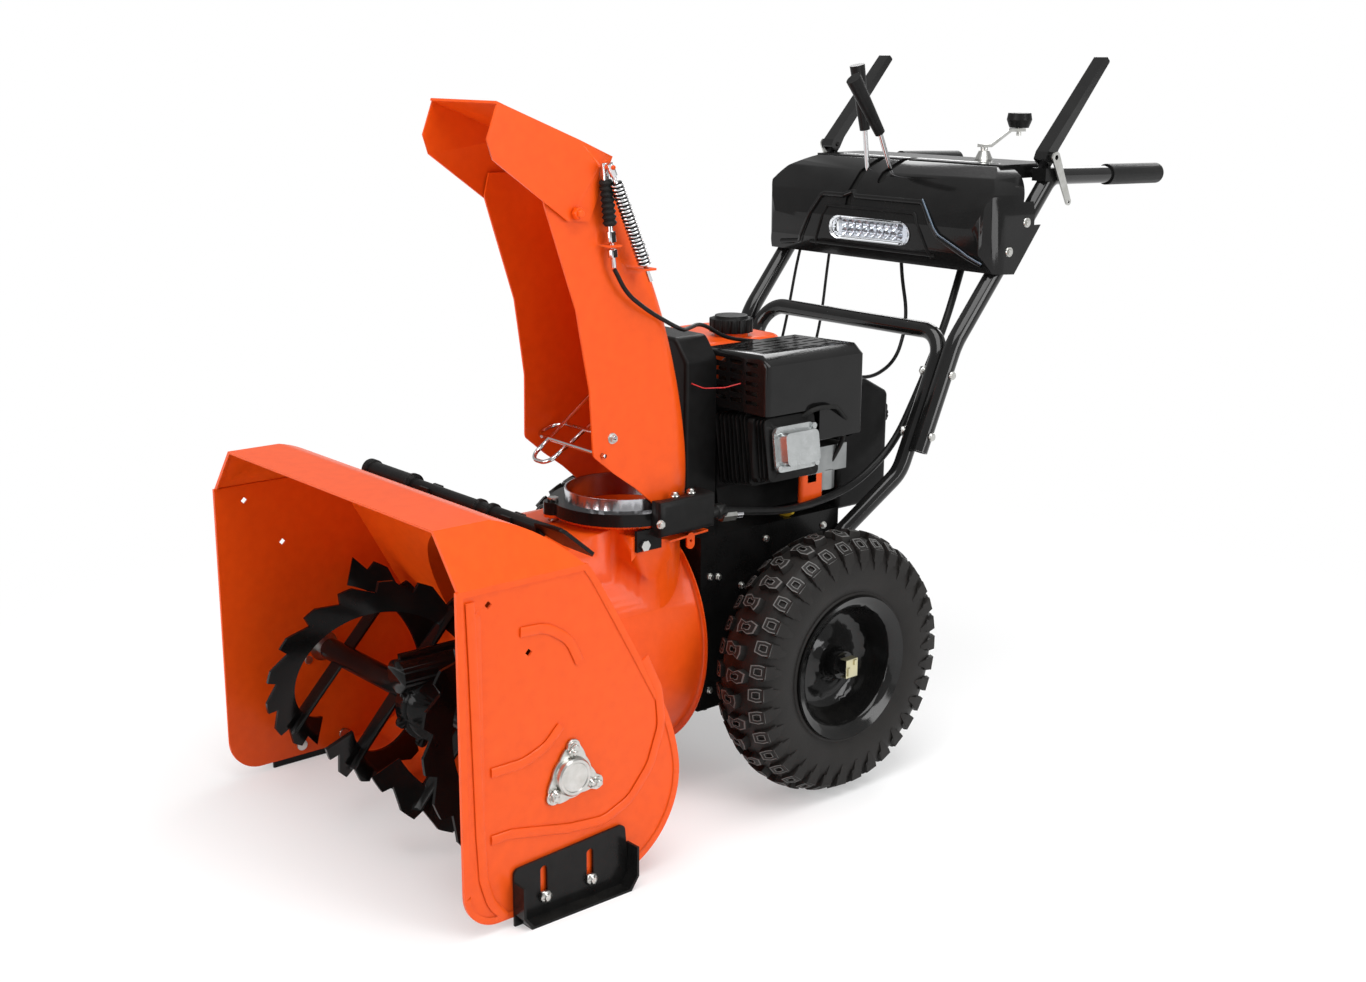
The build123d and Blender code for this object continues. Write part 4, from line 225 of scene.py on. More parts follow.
def coat(name, colour, shade, roughness, dull, metallic=0.0, gloss=0.0, level=0.5, scratch=0.35,
         scale=300.0, wave=60.0, share=0.5, depth=0.02,
         dusty=0.05, dust_height=0.5, dust_colour=(0.32, 0.29, 0.25)):
    """A finish: its colour between two shades (a number is a grey), its gloss, grain, marks and dust."""
    colour, shade = [(tone,) * 3 if isinstance(tone, float) else tone for tone in (colour, shade)]
    material = bpy.data.materials.new(name)
    material.use_nodes = True
    tree = material.node_tree
    shader = tree.nodes["Principled BSDF"]
    spot = wired(tree, "ShaderNodeTexCoord")
    place = spot.outputs["Object"]
    skin = wired(tree, "ShaderNodeGroup", node_tree=grain)
    film = wired(tree, "ShaderNodeGroup", node_tree=dust)
    worn = wired(tree, "ShaderNodeGroup", node_tree=marks)
    for group in (skin, film, worn):
        tree.links.new(place, group.inputs["Place"])
    tree.links.new(spot.outputs["Normal"], film.inputs["Facing"])
    for socket, value in (("Scale", scale), ("Wave", wave), ("Share", share)):
        skin.inputs[socket].default_value = value
    film.inputs["Height"].default_value = dust_height
    film.inputs["Amount"].default_value = dusty
    worn.inputs["Amount"].default_value = scratch
    tint = tinted(tree, skin.outputs["Mottle"], (*colour, 1), (*shade, 1))
    dusted = tinted(tree, film, tint, (*dust_colour, 1))
    tree.links.new(dusted, shader.inputs["Base Color"])
    haze = maths(tree, "MAXIMUM", film, worn)
    rough = ranged(tree, haze, to_low=roughness, to_high=dull)
    tree.links.new(rough.outputs[0], shader.inputs["Roughness"])
    bump = wired(tree, "ShaderNodeBump", links=[
        ("Height", skin.outputs["Height"]), ("Strength", 0.5), ("Distance", depth * 0.01)])
    tree.links.new(bump.outputs[0], shader.inputs["Normal"])
    shader.inputs["Metallic"].default_value = metallic
    shader.inputs["Coat Weight"].default_value = gloss
    shader.inputs["Coat Roughness"].default_value = 0.08
    shader.inputs["Specular IOR Level"].default_value = level
    return material


orange_paint = coat(
    "orange powder coat", (0.77, 0.083, 0.004), (0.72, 0.073, 0.0035), 0.36, 0.55, level=0.22, gloss=0.1,
    scale=420.0, depth=0.03, dusty=0.16, dust_height=0.35, dust_colour=(0.55, 0.32, 0.2))


def shape_tree(name, *sizes):
    """An empty Geometry Nodes tree with named sizes and a material, and its two ends."""
    tree = bpy.data.node_groups.new(name, "GeometryNodeTree")
    tree.interface.new_socket("Start", in_out="INPUT", socket_type="NodeSocketGeometry")
    for label, value in sizes:
        kind = "NodeSocketInt" if isinstance(value, int) else "NodeSocketFloat"
        tree.interface.new_socket(label, in_out="INPUT", socket_type=kind).default_value = value
    tree.interface.new_socket("Material", in_out="INPUT", socket_type="NodeSocketMaterial")
    tree.interface.new_socket("Shape", in_out="OUTPUT", socket_type="NodeSocketGeometry")
    return tree, tree.nodes.new("NodeGroupInput").outputs, tree.nodes.new("NodeGroupOutput").inputs


def closed(tree, shape, sizes, out):
    """Ends a tree: real geometry, with its material."""
    solid = wired(tree, "GeometryNodeRealizeInstances", [(0, shape)])
    painted = wired(tree, "GeometryNodeSetMaterial", [("Geometry", solid), ("Material", sizes["Material"])])
    tree.links.new(painted.outputs[0], out[0])


def grown(name, tree, start, material, **sizes):
    """The tree's result as a plain mesh piece, from a start mesh and its sizes."""
    obj = placed(name, start)
    maker = obj.modifiers.new("maker", "NODES")
    maker.node_group = tree
    sizes["Material"] = material
    for item in tree.interface.items_tree:
        if item.in_out == "INPUT" and item.name.replace(" ", "_") in sizes:
            maker[item.identifier] = sizes[item.name.replace(" ", "_")]
    return settled(obj)


def marks_at(name, spots):
    """Loose points, each with the way that it faces."""
    mesh = bpy.data.meshes.new(name)
    mesh.from_pydata([at for at, way in spots], [], [])
    facing = mesh.attributes.new("way", "FLOAT_VECTOR", "POINT")
    for i, (at, way) in enumerate(spots):
        facing.data[i].vector = Vector(way).normalized()
    return mesh


# a round bar swept along a path: pressed beads, seams, wires and hoses
sweep_tree, size, out = shape_tree("swept bar", ("Radius", 0.003), ("Corner", 0.02), ("Sides", 10))
_line = wired(sweep_tree, "GeometryNodeMeshToCurve", [(0, size["Start"])])
_bend = wired(sweep_tree, "GeometryNodeFilletCurve", mode="POLY", links=[
    ("Curve", _line), ("Radius", size["Corner"]), ("Limit Radius", True), ("Count", 8)])
_ring = wired(sweep_tree, "GeometryNodeCurvePrimitiveCircle", links=[
    ("Resolution", size["Sides"]), ("Radius", size["Radius"])])
_bar = wired(sweep_tree, "GeometryNodeCurveToMesh", links=[
    ("Curve", _bend), ("Profile Curve", _ring), ("Fill Caps", True)])
closed(sweep_tree, _bar, size, out)


def swept(name, paths, radius, corner, material, sides=10):
    """Round bars of one size along these paths, as one mesh."""
    mesh = bpy.data.meshes.new(name)
    verts, edges = [], []
    for path in paths:
        first = len(verts)
        verts += [tuple(p) for p in path]
        edges += [(first + i, first + i + 1) for i in range(len(path) - 1)]
    mesh.from_pydata(verts, edges, [])
    return smoothed(grown(name, sweep_tree, mesh, material, Radius=radius, Corner=corner, Sides=sides), 50)


def bars(name, body, slot, paths, radius, corner, material, sides=10):
    """Swept round bars as a piece of their own, coated and on their body."""
    return hung(swept(name, paths, radius, corner, material, sides), body, slot, material)


dressed("housing_wrap", "machine", "orange_paint", orange_paint, 28)
dressed("side_plates", "machine", "orange_paint", orange_paint, 28)
PLATE_FACE = 0.3197                     # outer face of a side plate, from the middle
BEAD_RISE = 0.22                        # height of a pressed bead, as a share of its width
arc_top = [(-0.656, 0.388), (-0.617, 0.386), (-0.582, 0.363), (-0.566, 0.329)]
arc_low = [(-0.703, 0.216), (-0.655, 0.216), (-0.620, 0.228), (-0.596, 0.251)]
loop = [(-0.4606, 0.310), (-0.436, 0.260), (-0.431, 0.210), (-0.4505, 0.157), (-0.485, 0.118),
        (-0.529, 0.101), (-0.585, 0.107), (-0.675, 0.1265), (-0.705, 0.1265)]
hem = [(-0.728, 0.441), (-0.7253, 0.353), (-0.7233, 0.248), (-0.7212, 0.141), (-0.7178, 0.077),
       (-0.7067, 0.0403), (-0.686, 0.0165)]
lines = (arc_top, arc_low, loop, hem)
beads = [[(side * PLATE_FACE, y, z) for y, z in line] for side in (1, -1) for line in lines]
pressed = swept("pressed_beads", beads, 0.0065, 0.05, orange_paint, 16)
for vert in pressed.data.vertices:
    face = math.copysign(PLATE_FACE, vert.co.x)
    vert.co.x = face + (vert.co.x - face) * BEAD_RISE
hung(smoothed(pressed, 60), "machine", "orange_paint", orange_paint)

# Scraper bar and skid shoes: the wear parts, cut and folded from thicker plate and bolted
# on at the foot of each side plate. Black powder coat, soon rubbed dull on the sole.

black_paint = coat(
    "black powder coat", 0.005, 0.008, 0.22, 0.45, level=0.12, gloss=0.06, scale=380.0, wave=40.0,
    depth=0.03)
dressed("scraper_bar", "machine", "black_paint", black_paint)
dressed("skid_shoes", "machine", "black_paint", black_paint, 30, 0.0012)

# Bearing caps and housing bolts: a pressed zinc cap closes each auger bearing, on three
# flange bolts, and two carriage bolts with flange nuts hold each skid shoe.

zinc = coat(
    "zinc plate", (0.62, 0.62, 0.6), (0.5, 0.5, 0.47), 0.28, 0.5, metallic=1.0, scale=500.0, wave=90.0,
    dusty=0.15, scratch=0.5)
CAP_EARS = [(-0.579, 0.2184), (-0.611, 0.1578), (-0.5425, 0.1604)]
CAP_MIDDLE = (-0.582, 0.180)
CAP_ROUND = 0.031                       # radius of the flange round the cup
EAR_ROUND = 0.0105                      # radius of an ear round its bolt
FLANK_RISE, FLANK_FALL = 0.0095, 0.62   # how far an ear's flank stands out, and how fast it falls away


def cap_outline(grow):
    """Three-eared outline of a bearing cap's flange, in Y and Z."""
    points = []
    for k in range(96):
        way = (math.cos(2 * math.pi * k / 96), math.sin(2 * math.pi * k / 96))
        reach = CAP_ROUND
        for y, z in CAP_EARS:
            to = (y - CAP_MIDDLE[0], z - CAP_MIDDLE[1])
            ahead = to[0] * way[0] + to[1] * way[1]
            aside = abs(to[0] * way[1] - to[1] * way[0])
            slack = EAR_ROUND ** 2 - aside ** 2
            if ahead > 0 and slack > 0:
                reach = max(reach, ahead + math.sqrt(slack))
            elif ahead > 0:
                # the flank runs from the ear down to the round of the cup
                reach = max(reach, CAP_ROUND + max(0.0, FLANK_RISE - (aside - EAR_ROUND) * FLANK_FALL))
        points.append((CAP_MIDDLE[0] + (reach - grow) * way[0], CAP_MIDDLE[1] + (reach - grow) * way[1]))
    return points


def turned_rings(bm, rings):
    """Skins a stack of equal rings of points, closed at both ends."""
    made = [[bm.verts.new(p) for p in ring] for ring in rings]
    for low, high in zip(made, made[1:]):
        for i in range(len(low)):
            j = (i + 1) % len(low)
            bm.faces.new((low[i], low[j], high[j], high[i]))
    bm.faces.new(made[0])
    bm.faces.new(made[-1])


def cap_circle(side, x, radius):
    """Points round the cup of a bearing cap."""
    y, z = CAP_MIDDLE
    turns = [a * math.pi / 24 for a in range(48)]
    return [(side * x, y + radius * math.cos(t), z + radius * math.sin(t)) for t in turns]


CAP_FLANGE = [(0.3195, 0.0), (0.3222, 0.0), (0.323, 0.0008)]
CAP_CUP = [(0.322, 0.0270), (0.3245, 0.0262), (0.3290, 0.0255), (0.3312, 0.0235), (0.3312, 0.0200),
           (0.3300, 0.0188)]
bm = bmesh.new()
for side in (1, -1):
    turned_rings(bm, [[(side * x, y, z) for y, z in cap_outline(grow)] for x, grow in CAP_FLANGE])
    turned_rings(bm, [cap_circle(side, x, radius) for x, radius in CAP_CUP])
bmesh.ops.recalc_face_normals(bm, faces=bm.faces)
caps = placed("bearing_caps_pressed", meshed("bearing_caps_pressed", bm))
hung(smoothed(caps, 28), "machine", "cast_alloy", zinc, "bearing_caps")
dressed("housing_bolts", "machine", "zinc", zinc)


def cone(tree, sides, bottom, top, depth, **values):
    """A node for a straight cone, rod or disc."""
    radii = [("Radius Bottom", bottom), ("Radius Top", top)]
    return wired(tree, "GeometryNodeMeshCone", [("Vertices", sides), *radii, ("Depth", depth)], **values)


# hexagon head on a round flange, with the bolt's end showing in the middle
bolt_tree, size, out = shape_tree("flange bolt", ("Across", 0.013), ("Height", 0.006), ("Flange", 0.009))
_rim = maths(bolt_tree, "MULTIPLY", size["Flange"], 0.93)
_disc = cone(bolt_tree, 20, size["Flange"], _rim, 0.0016)
_half = maths(bolt_tree, "MULTIPLY", size["Across"], 0.577)
_hex = cone(bolt_tree, 6, _half, _half, size["Height"])
_crown = maths(bolt_tree, "MULTIPLY", size["Across"], 0.47)
_less = maths(bolt_tree, "MULTIPLY", size["Across"], 0.36)
_cap = cone(bolt_tree, 20, _crown, _less, 0.0009)
_lift = wired(bolt_tree, "ShaderNodeCombineXYZ", [("Z", size["Height"])])
_moved = wired(bolt_tree, "GeometryNodeTransform", [("Geometry", _cap), ("Translation", _lift)])
_bolt = wired(bolt_tree, "GeometryNodeJoinGeometry")
for part in (_disc, _hex, _moved):
    bolt_tree.links.new(part.outputs[0], _bolt.inputs[0])
_way = wired(bolt_tree, "GeometryNodeInputNamedAttribute", [("Name", "way")], data_type="FLOAT_VECTOR")
_turn = wired(bolt_tree, "FunctionNodeAlignRotationToVector", [("Vector", _way)], axis="Z")
_put = wired(bolt_tree, "GeometryNodeInstanceOnPoints", links=[
    ("Points", size["Start"]), ("Instance", _bolt), ("Rotation", _turn)])
closed(bolt_tree, _put, size, out)


def bolts(name, body, spots, across=0.013, height=0.006, flange=0.009, material=None):
    """A set of like flange bolts, at these points and facing these ways."""
    start, finish = marks_at(name, spots), material or zinc
    obj = grown(name, bolt_tree, start, finish, Across=across, Height=height, Flange=flange)
    return hung(smoothed(obj, 25), body, "zinc", finish)


def both_sides(x, spots):
    """Spots this far out on the machine's left and right, each facing outward."""
    return [((side * x, y, z), (side, 0, 0)) for side in (1, -1) for y, z in spots]


bolts("cap_bolts", "machine", both_sides(0.3228, CAP_EARS), across=0.010, height=0.006, flange=0.0078)

# Augers: two saw-edged steel ribbons wound opposite ways on tubes, driven through shear
# bolts by the worm gearbox in the middle. Gloss black, over a bare ground shaft.

auger_paint = coat(
    "auger black", 0.004, 0.006, 0.16, 0.4, level=0.12, gloss=0.06, wave=30.0, depth=0.04, dusty=0.03)
steel = coat(
    "ground steel", 0.5, (0.38, 0.37, 0.36), 0.3, 0.55, metallic=1.0, scale=600.0, wave=70.0, dusty=0.2,
    scratch=0.6)
dressed("left_auger", "auger", "black_paint", auger_paint)
dressed("right_auger", "auger", "black_paint", auger_paint)
dressed("auger_shaft", "auger", "steel", steel)
dressed("shear_bolts", "auger", "zinc", zinc)
dressed("auger_gearbox", "machine", "black_paint", auger_paint)

# Impeller: a fan of welded steel paddles on the drive shaft, in a rolled drum behind the
# augers, that throws the snow up the chute. Its pulley is on the engine side.

dressed("impeller", "impeller_group", "black_paint", black_paint)
dressed("impeller_shaft", "impeller_group", "steel", steel)
dressed("impeller_pulley", "impeller_group", "steel", steel)
dressed("impeller_housing", "machine", "orange_paint", orange_paint, 28)
dressed("shaft_bearings", "machine", "steel", steel)

# Chute mount: a black moulded base ring bolted to the drum's flange, and inside it the
# bright steel ring that the chute turns on, driven by the worm in the black gear case.

black_plastic = coat(
    "black moulding", 0.006, 0.009, 0.38, 0.6, level=0.12, scale=700.0, share=0.75, depth=0.05, dusty=0.06)
ring_steel = coat(
    "turned ring steel", (0.66, 0.66, 0.68), (0.5, 0.5, 0.53), 0.2, 0.4, metallic=1.0, scale=500.0,
    wave=50.0, dusty=0.1)
dressed("chute_base_ring", "machine", "black_plastic", black_paint)
dressed("chute_ring", "chute", "zinc", ring_steel)
dressed("chute_gear_case", "machine", "black_plastic", black_plastic)

union = [(0.2, -0.2225, 0.4355), (0.2, -0.197, 0.4337)]
bars("shaft_union", "machine", "zinc", [union], 0.0088, 0.002, zinc, 6)
ferrule = [(0.2, -0.200, 0.434), (0.2, -0.184, 0.4325)]
bars("shaft_ferrule", "machine", "zinc", [ferrule], 0.0068, 0.002, ring_steel, 16)

# Chute, deflector and wire guard: folded 1.5 mm sheet in the housing's orange, the hood
# hinged at the top, with a bent chrome wire guard to keep hands out of the throat.

rubber = coat(
    "black rubber", 0.009, (0.014, 0.014, 0.013), 0.6, 0.75, scale=500.0, share=0.7, depth=0.06, dusty=0.08,
    scratch=0.2, level=0.15)
chrome = coat(
    "bright chrome", (0.72, 0.72, 0.73), (0.62, 0.62, 0.63), 0.09, 0.3, metallic=1.0, wave=40.0, depth=0.01,
    dusty=0.08, scratch=0.3)
dressed("chute_body", "chute", "orange_paint", orange_paint, 28)
dressed("deflector", "hood", "orange_paint", orange_paint, 28)
dressed("wire_guard", "chute", "chrome", chrome)

# Deflector spring and cable end: a chromed spring pulls the hood up on a hooked rod, and
# the cable that pulls it down ends in a rubber bellows on the bracket beside it.

# a wire wound into a spring round a straight line
spring_tree, size, out = shape_tree(
    "coil spring", ("Turns", 30.0), ("Radius", 0.008), ("Length", 0.12), ("Wire", 0.0012))
_coil = wired(spring_tree, "GeometryNodeCurveSpiral", links=[
    ("Resolution", 14), ("Rotations", size["Turns"]), ("Start Radius", size["Radius"]),
    ("End Radius", size["Radius"]), ("Height", size["Length"])])
_thick = wired(spring_tree, "GeometryNodeCurvePrimitiveCircle", [("Resolution", 6), ("Radius", size["Wire"])])
_wound = wired(spring_tree, "GeometryNodeCurveToMesh", links=[
    ("Curve", _coil), ("Profile Curve", _thick), ("Fill Caps", True)])
closed(spring_tree, _wound, size, out)

# equal rings in a row on a straight line: a bellows or a ribbed sleeve
rib_tree, size, out = shape_tree(
    "ribbed sleeve", ("Count", 9), ("Pitch", 0.008), ("Radius", 0.007), ("Waist", 0.005))
_row = wired(rib_tree, "GeometryNodeMeshLine", [("Count", size["Count"])])
_gap = wired(rib_tree, "ShaderNodeCombineXYZ", [("Z", size["Pitch"])])
rib_tree.links.new(_gap.outputs[0], _row.inputs["Offset"])
_mid = maths(rib_tree, "MULTIPLY", size["Pitch"], 0.5)
_flare = cone(rib_tree, 16, size["Waist"], size["Radius"], _mid)
_taper = cone(rib_tree, 16, size["Radius"], size["Waist"], _mid)
_raise = wired(rib_tree, "ShaderNodeCombineXYZ", [("Z", _mid)])
_upper = wired(rib_tree, "GeometryNodeTransform", [("Geometry", _taper), ("Translation", _raise)])
_rib = wired(rib_tree, "GeometryNodeJoinGeometry")
rib_tree.links.new(_flare.outputs[0], _rib.inputs[0])
rib_tree.links.new(_upper.outputs[0], _rib.inputs[0])
_ribs = wired(rib_tree, "GeometryNodeInstanceOnPoints", [("Points", _row), ("Instance", _rib)])
closed(rib_tree, _ribs, size, out)


def along(obj, start, end):
    """Lays a piece that was made up the Z axis along the line between two points."""
    turn = (Vector(end) - Vector(start)).to_track_quat("Z", "Y").to_matrix().to_4x4()
    obj.data.transform(Matrix.Translation(start) @ turn)
    return obj


# the spring hangs from PULL towards ROD_FOOT, and the bellows from CABLE_TOP along the cable
PULL, ROD_FOOT = Vector((0.187, -0.409, 0.930)), Vector((0.187, -0.342, 0.778))
line = (ROD_FOOT - PULL).normalized()
CABLE_TOP = Vector((0.174, -0.409, 0.930))
drop = (Vector((0.174, -0.397, 0.826)) - CABLE_TOP).normalized()
# the rod and the cable's end are coated dull black inside the coils and the ribs: painted shade in the gaps
# between the coils and inside the bellows
link = dressed("deflector_link", "chute", "chrome", chrome)
second_coat(link, rubber, lambda at: at.x > 0.1795 and 0.0215 < (at - PULL).dot(line) < 0.1405
            or at.x < 0.182 and 0.0135 < (at - CABLE_TOP).dot(drop) < 0.0765)
spring = grown("deflector_spring", spring_tree, bpy.data.meshes.new("start"), chrome,
               Turns=23.0, Radius=0.0082, Length=0.120, Wire=0.0014)
hung(smoothed(along(spring, PULL + line * 0.022, PULL + line * 0.144), 60), "chute", "chrome", chrome)

top = CABLE_TOP + drop * 0.0165
bellows = grown("cable_bellows", rib_tree, bpy.data.meshes.new("start"), rubber,
                Count=8, Pitch=0.0075, Radius=0.0098, Waist=0.0072)
hung(smoothed(along(bellows, top, top + drop), 35), "chute", "rubber", rubber)

bolts("chute_bolts", "chute", [((side * 0.0785 + 0.09, -0.394, 0.567), (side, 0, 0)) for side in (1, -1)],
      across=0.010, height=0.006, flange=0.008)
bolts("hood_bolts", "hood", [((0.09 + side * 0.0832, -0.449, 0.872), (side, 0, 0)) for side in (1, -1)],
      across=0.010, height=0.004, flange=0.008, material=orange_paint)
case_spots = [((0.190, -0.300, 0.4755), (0, 0, 1)), ((0.190, -0.270, 0.4755), (0, 0, 1)),
              ((0.2125, -0.345, 0.447), (1, 0, 0))]
bolts("gear_case_bolts", "machine", case_spots, across=0.009, height=0.005, flange=0.0065)

# Frame: a folded black sheet box that carries the engine, axle and handles, closed below
# by a screwed cover. The belts run in it from the crankshaft to the impeller.

dressed("frame_tub", "machine", "black_paint", black_paint)
dressed("frame_cover", "machine", "black_paint", black_paint)
dressed("drive_belts", "machine", "rubber", rubber)
dressed("belt_cover", "machine", "black_plastic", black_plastic, 30, 0.003)
dressed("engine_pulley", "crankshaft", "steel", steel)

TUB_BOLTS = [(-0.2106, 0.334), (-0.195, 0.331), (-0.149, 0.309), (-0.210, 0.158), (-0.100, 0.372),
             (0.020, 0.372)]
bolts("tub_bolts", "machine", both_sides(0.1652, TUB_BOLTS), across=0.008, height=0.004, flange=0.006)

# Wheels: pressed steel rims in gloss black on a through axle, with tubeless snow tyres,
# two staggered rows of deep lugs running over on to a ribbed shoulder.

tyre_rubber = coat(
    "tyre rubber", (0.009, 0.008, 0.0074), (0.0125, 0.0112, 0.0102), 0.5, 0.8, scale=420.0, wave=28.0,
    share=0.6, depth=0.08, dusty=0.2, dust_height=0.3, dust_colour=(0.05, 0.046, 0.042), scratch=0.3,
    level=0.2)
tree = tyre_rubber.node_tree
# the rim of each lug's face and of its pocket is painted pale grey from a face attribute: a painted highlight
lug_edge_highlight = wired(tree, "ShaderNodeAttribute", attribute_name="lug_edge_highlight")
old = tree.nodes["Principled BSDF"].inputs["Base Color"].links[0].from_socket
pale = tinted(tree, lug_edge_highlight.outputs["Fac"], old, (0.11, 0.11, 0.107, 1))
tree.links.new(pale, tree.nodes["Principled BSDF"].inputs["Base Color"])
rim_paint = coat(
    "rim black", 0.005, 0.007, 0.12, 0.3, gloss=0.12, level=0.3, scale=60.0, wave=9.0, depth=0.01,
    scratch=0.15)
AXLE = Vector((0.0, -0.061, 0.1995))
TYRE_OUT = 0.265                       # a tyre's middle, from the machine's middle
LUGS = 17                              # pairs of lugs round one tyre
CROWN = 0.1985                         # radius over the lugs at the middle of the tread
CARCASS = 0.1885                       # radius of the carcass there
HALF_TREAD = 0.044                     # from the tread's middle to its shoulder
DRAWN = 0.195                          # radius at which the blocks' outlines are true


def tread_top(x):
    """Radius of the tread's worn face, x metres from the middle of the tyre."""
    return CROWN - 0.0155 * (x / HALF_TREAD) ** 2


def carcass_top(x):
    """Radius of the carcass between the lugs."""
    return CARCASS - 0.0125 * (x / HALF_TREAD) ** 4


def lug(bm, lug_edge_highlight, outline, pocket):
    """One tread block: walls, a painted highlight round the edge of its face and round its pocket, and a
    pocket in the face.
    """
    mid = [sum(c) / len(outline) for c in zip(*outline)]

    def ring(share, drop):
        made = []
        for x, along in outline:
            x, along = mid[0] + (x - mid[0]) * share, mid[1] + (along - mid[1]) * share
            radius = carcass_top(x) - 0.004 if drop is None else tread_top(x) - drop
            turn = along / DRAWN
            made.append(bm.verts.new((x, -radius * math.sin(turn), radius * math.cos(turn))))
        return made

    # from the foot in the carcass up the walls, over the edge and down into the pocket
    rings = [ring(1.12, None), ring(1.0, 0.0016), ring(0.96, 0.0), ring(0.82, 0.0)]
    if pocket:
        rings += [ring(pocket, 0.0), ring(pocket * 0.8, 0.0), ring(pocket * 0.72, 0.004)]
    for level, (low, high) in enumerate(zip(rings, rings[1:])):
        for i in range(len(outline)):
            j = (i + 1) % len(outline)
            face = bm.faces.new((low[i], low[j], high[j], high[i]))
            # the edge ring round the face and the pocket's rim carry the painted highlight
            face[lug_edge_highlight] = 1.0 if level in (2, 4) else 0.0
    bm.faces.new(rings[-1])


def tread_piece(name, outlines):
    """One step of the tread, about the tyre's own middle."""
    bm = bmesh.new()
    lug_edge_highlight = bm.faces.layers.float.new("lug_edge_highlight")
    for outline, pocket in outlines:
        lug(bm, lug_edge_highlight, [(x / 1000, a / 1000) for x, a in outline], pocket)
    bmesh.ops.recalc_face_normals(bm, faces=bm.faces)
    return meshed(name, bm)


# the step of blocks is repeated round the axle
tread_tree, size, out = shape_tree("tread ring", ("Count", 17))
_spots = wired(tread_tree, "GeometryNodeMeshLine", [("Count", size["Count"]), ("Offset", (0.0, 0.0, 0.0))])
_index = wired(tread_tree, "GeometryNodeInputIndex")
_step = maths(tread_tree, "DIVIDE", 2 * math.pi, size["Count"])
_angle = maths(tread_tree, "MULTIPLY", _index, _step)
_euler = wired(tread_tree, "ShaderNodeCombineXYZ", [("X", _angle)])
_round = wired(tread_tree, "GeometryNodeInstanceOnPoints", links=[
    ("Points", _spots), ("Instance", size["Start"]), ("Rotation", _euler)])
closed(tread_tree, _round, size, out)

# outlines of the blocks in millimetres: a bow-shaped one by the middle, a plainer one on the shoulder
PITCH = 2 * math.pi * 195 / LUGS
bow = [(-9, -13), (3, -10), (12, -15), (24, -12), (22, 2), (12, 6), (2, 3), (-8, 8), (-11, -2)]
stirrup = [(29, -9), (40, -12), (49.5, -11), (50, 9), (40, 11), (29, 8)]
steps = []
for turn, sign in ((0.0, 1), (0.5, -1)):
    steps.append(([(sign * x, a + turn * PITCH) for x, a in bow], 0.45))
for turn, sign in ((0.25, 1), (0.75, 1), (0.0, -1), (0.5, -1)):
    steps.append(([(sign * x, a + turn * PITCH) for x, a in stirrup], 0.5))


def carcass(name):
    """Lathed tyre body: beads, ribbed walls that bulge over the rim, and the crown."""
    # points of the section in millimetres: from the middle outward, and radius
    section = [(-38, 101), (-43.5, 106), (-45, 111), (-43.8, 114), (-47, 122), (-49, 134), (-49.8, 148),
               (-48.5, 160), (-46, 169), (-42, 177), (-34, 183.5), (-22, 187), (0, 188.5)]
    section += [(-x, r) for x, r in section[-2::-1]]
    inside = [(34, 112), (38, 132), (37, 160), (24, 176), (0, 178), (-24, 176), (-37, 160), (-38, 132),
              (-34, 112)]
    loop = section + inside
    steps = 144
    verts, faces = [], []
    for k in range(steps):
        angle = 2 * math.pi * k / steps
        verts += [(x / 1000, -r / 1000 * math.sin(angle), r / 1000 * math.cos(angle)) for x, r in loop]
    n = len(loop)
    for k in range(steps):
        for i in range(n):
            a, b = k * n + i, k * n + (i + 1) % n
            c, d = (b + n) % (n * steps), (a + n) % (n * steps)
            faces.append((a, b, c, d))
    mesh = bpy.data.meshes.new(name)
    mesh.from_pydata(verts, [], faces)
    return mesh


# radius, distance from the tyre's middle and half angle of a rib, from the tread down
RIB_ROWS = [(0.181, 0.0487, 0.058), (0.172, 0.0502, 0.055), (0.160, 0.0512, 0.038), (0.148, 0.0502, 0.018)]


def shoulder_ribs(bm):
    """The lugs' feet: wedges that run down the tyre's walls between the shoulder blocks."""
    for side in (1, -1):
        for k in range(2 * LUGS):
            shift = 0.25 if side > 0 else 0.0
            mid = (k / 2 + shift) * 2 * math.pi / LUGS
            rows = []
            for r, x, half in RIB_ROWS:
                foot = half * 1.15
                rows.append([(x - 0.006, mid - foot, r), (x, mid - half, r),
                             (x, mid + half, r), (x - 0.006, mid + foot, r)])
            made = [[bm.verts.new((side * x, -r * math.sin(a), r * math.cos(a))) for x, a, r in row]
                    for row in rows]
            for low, high in zip(made, made[1:]):
                for i in range(3):
                    bm.faces.new((low[i], low[i + 1], high[i + 1], high[i]))
            bm.faces.new(made[0])
            bm.faces.new(made[-1])
            for low, high in zip(made, made[1:]):
                bm.faces.new((low[3], low[0], high[0], high[3]))


tyre_bm = bmesh.new()
for sign in (1, -1):
    step = tread_piece("tread_step", steps)
    half = grown("tread_part", tread_tree, step, tyre_rubber, Count=LUGS)
    body = placed("carcass_part", carcass("carcass"))
    ribs = bmesh.new()
    shoulder_ribs(ribs)
    bmesh.ops.recalc_face_normals(ribs, faces=ribs.faces)
    turned = Matrix.Rotation(0 if sign > 0 else math.pi, 4, "Z")
    for mesh in (half.data, body.data, meshed("ribs", ribs)):
        mesh.transform(Matrix.Translation(AXLE + Vector((sign * TYRE_OUT, 0, 0))) @ turned)
        tyre_bm.from_mesh(mesh)
    bpy.data.objects.remove(half)
    bpy.data.objects.remove(body)
tread = placed("tyres_tread", meshed("tyres_tread", tyre_bm))
hung(smoothed(tread, 30), "wheels", "tyre_rubber", tyre_rubber, "tyres")
dressed("wheel_rims", "wheels", "black_paint", rim_paint)
dressed("axle", "wheels", "steel", rim_paint)

# Hub clips: a small yellow zinc clip over each end of the axle, folded from flat strip,
# that keeps the wheel's pin in its hole.


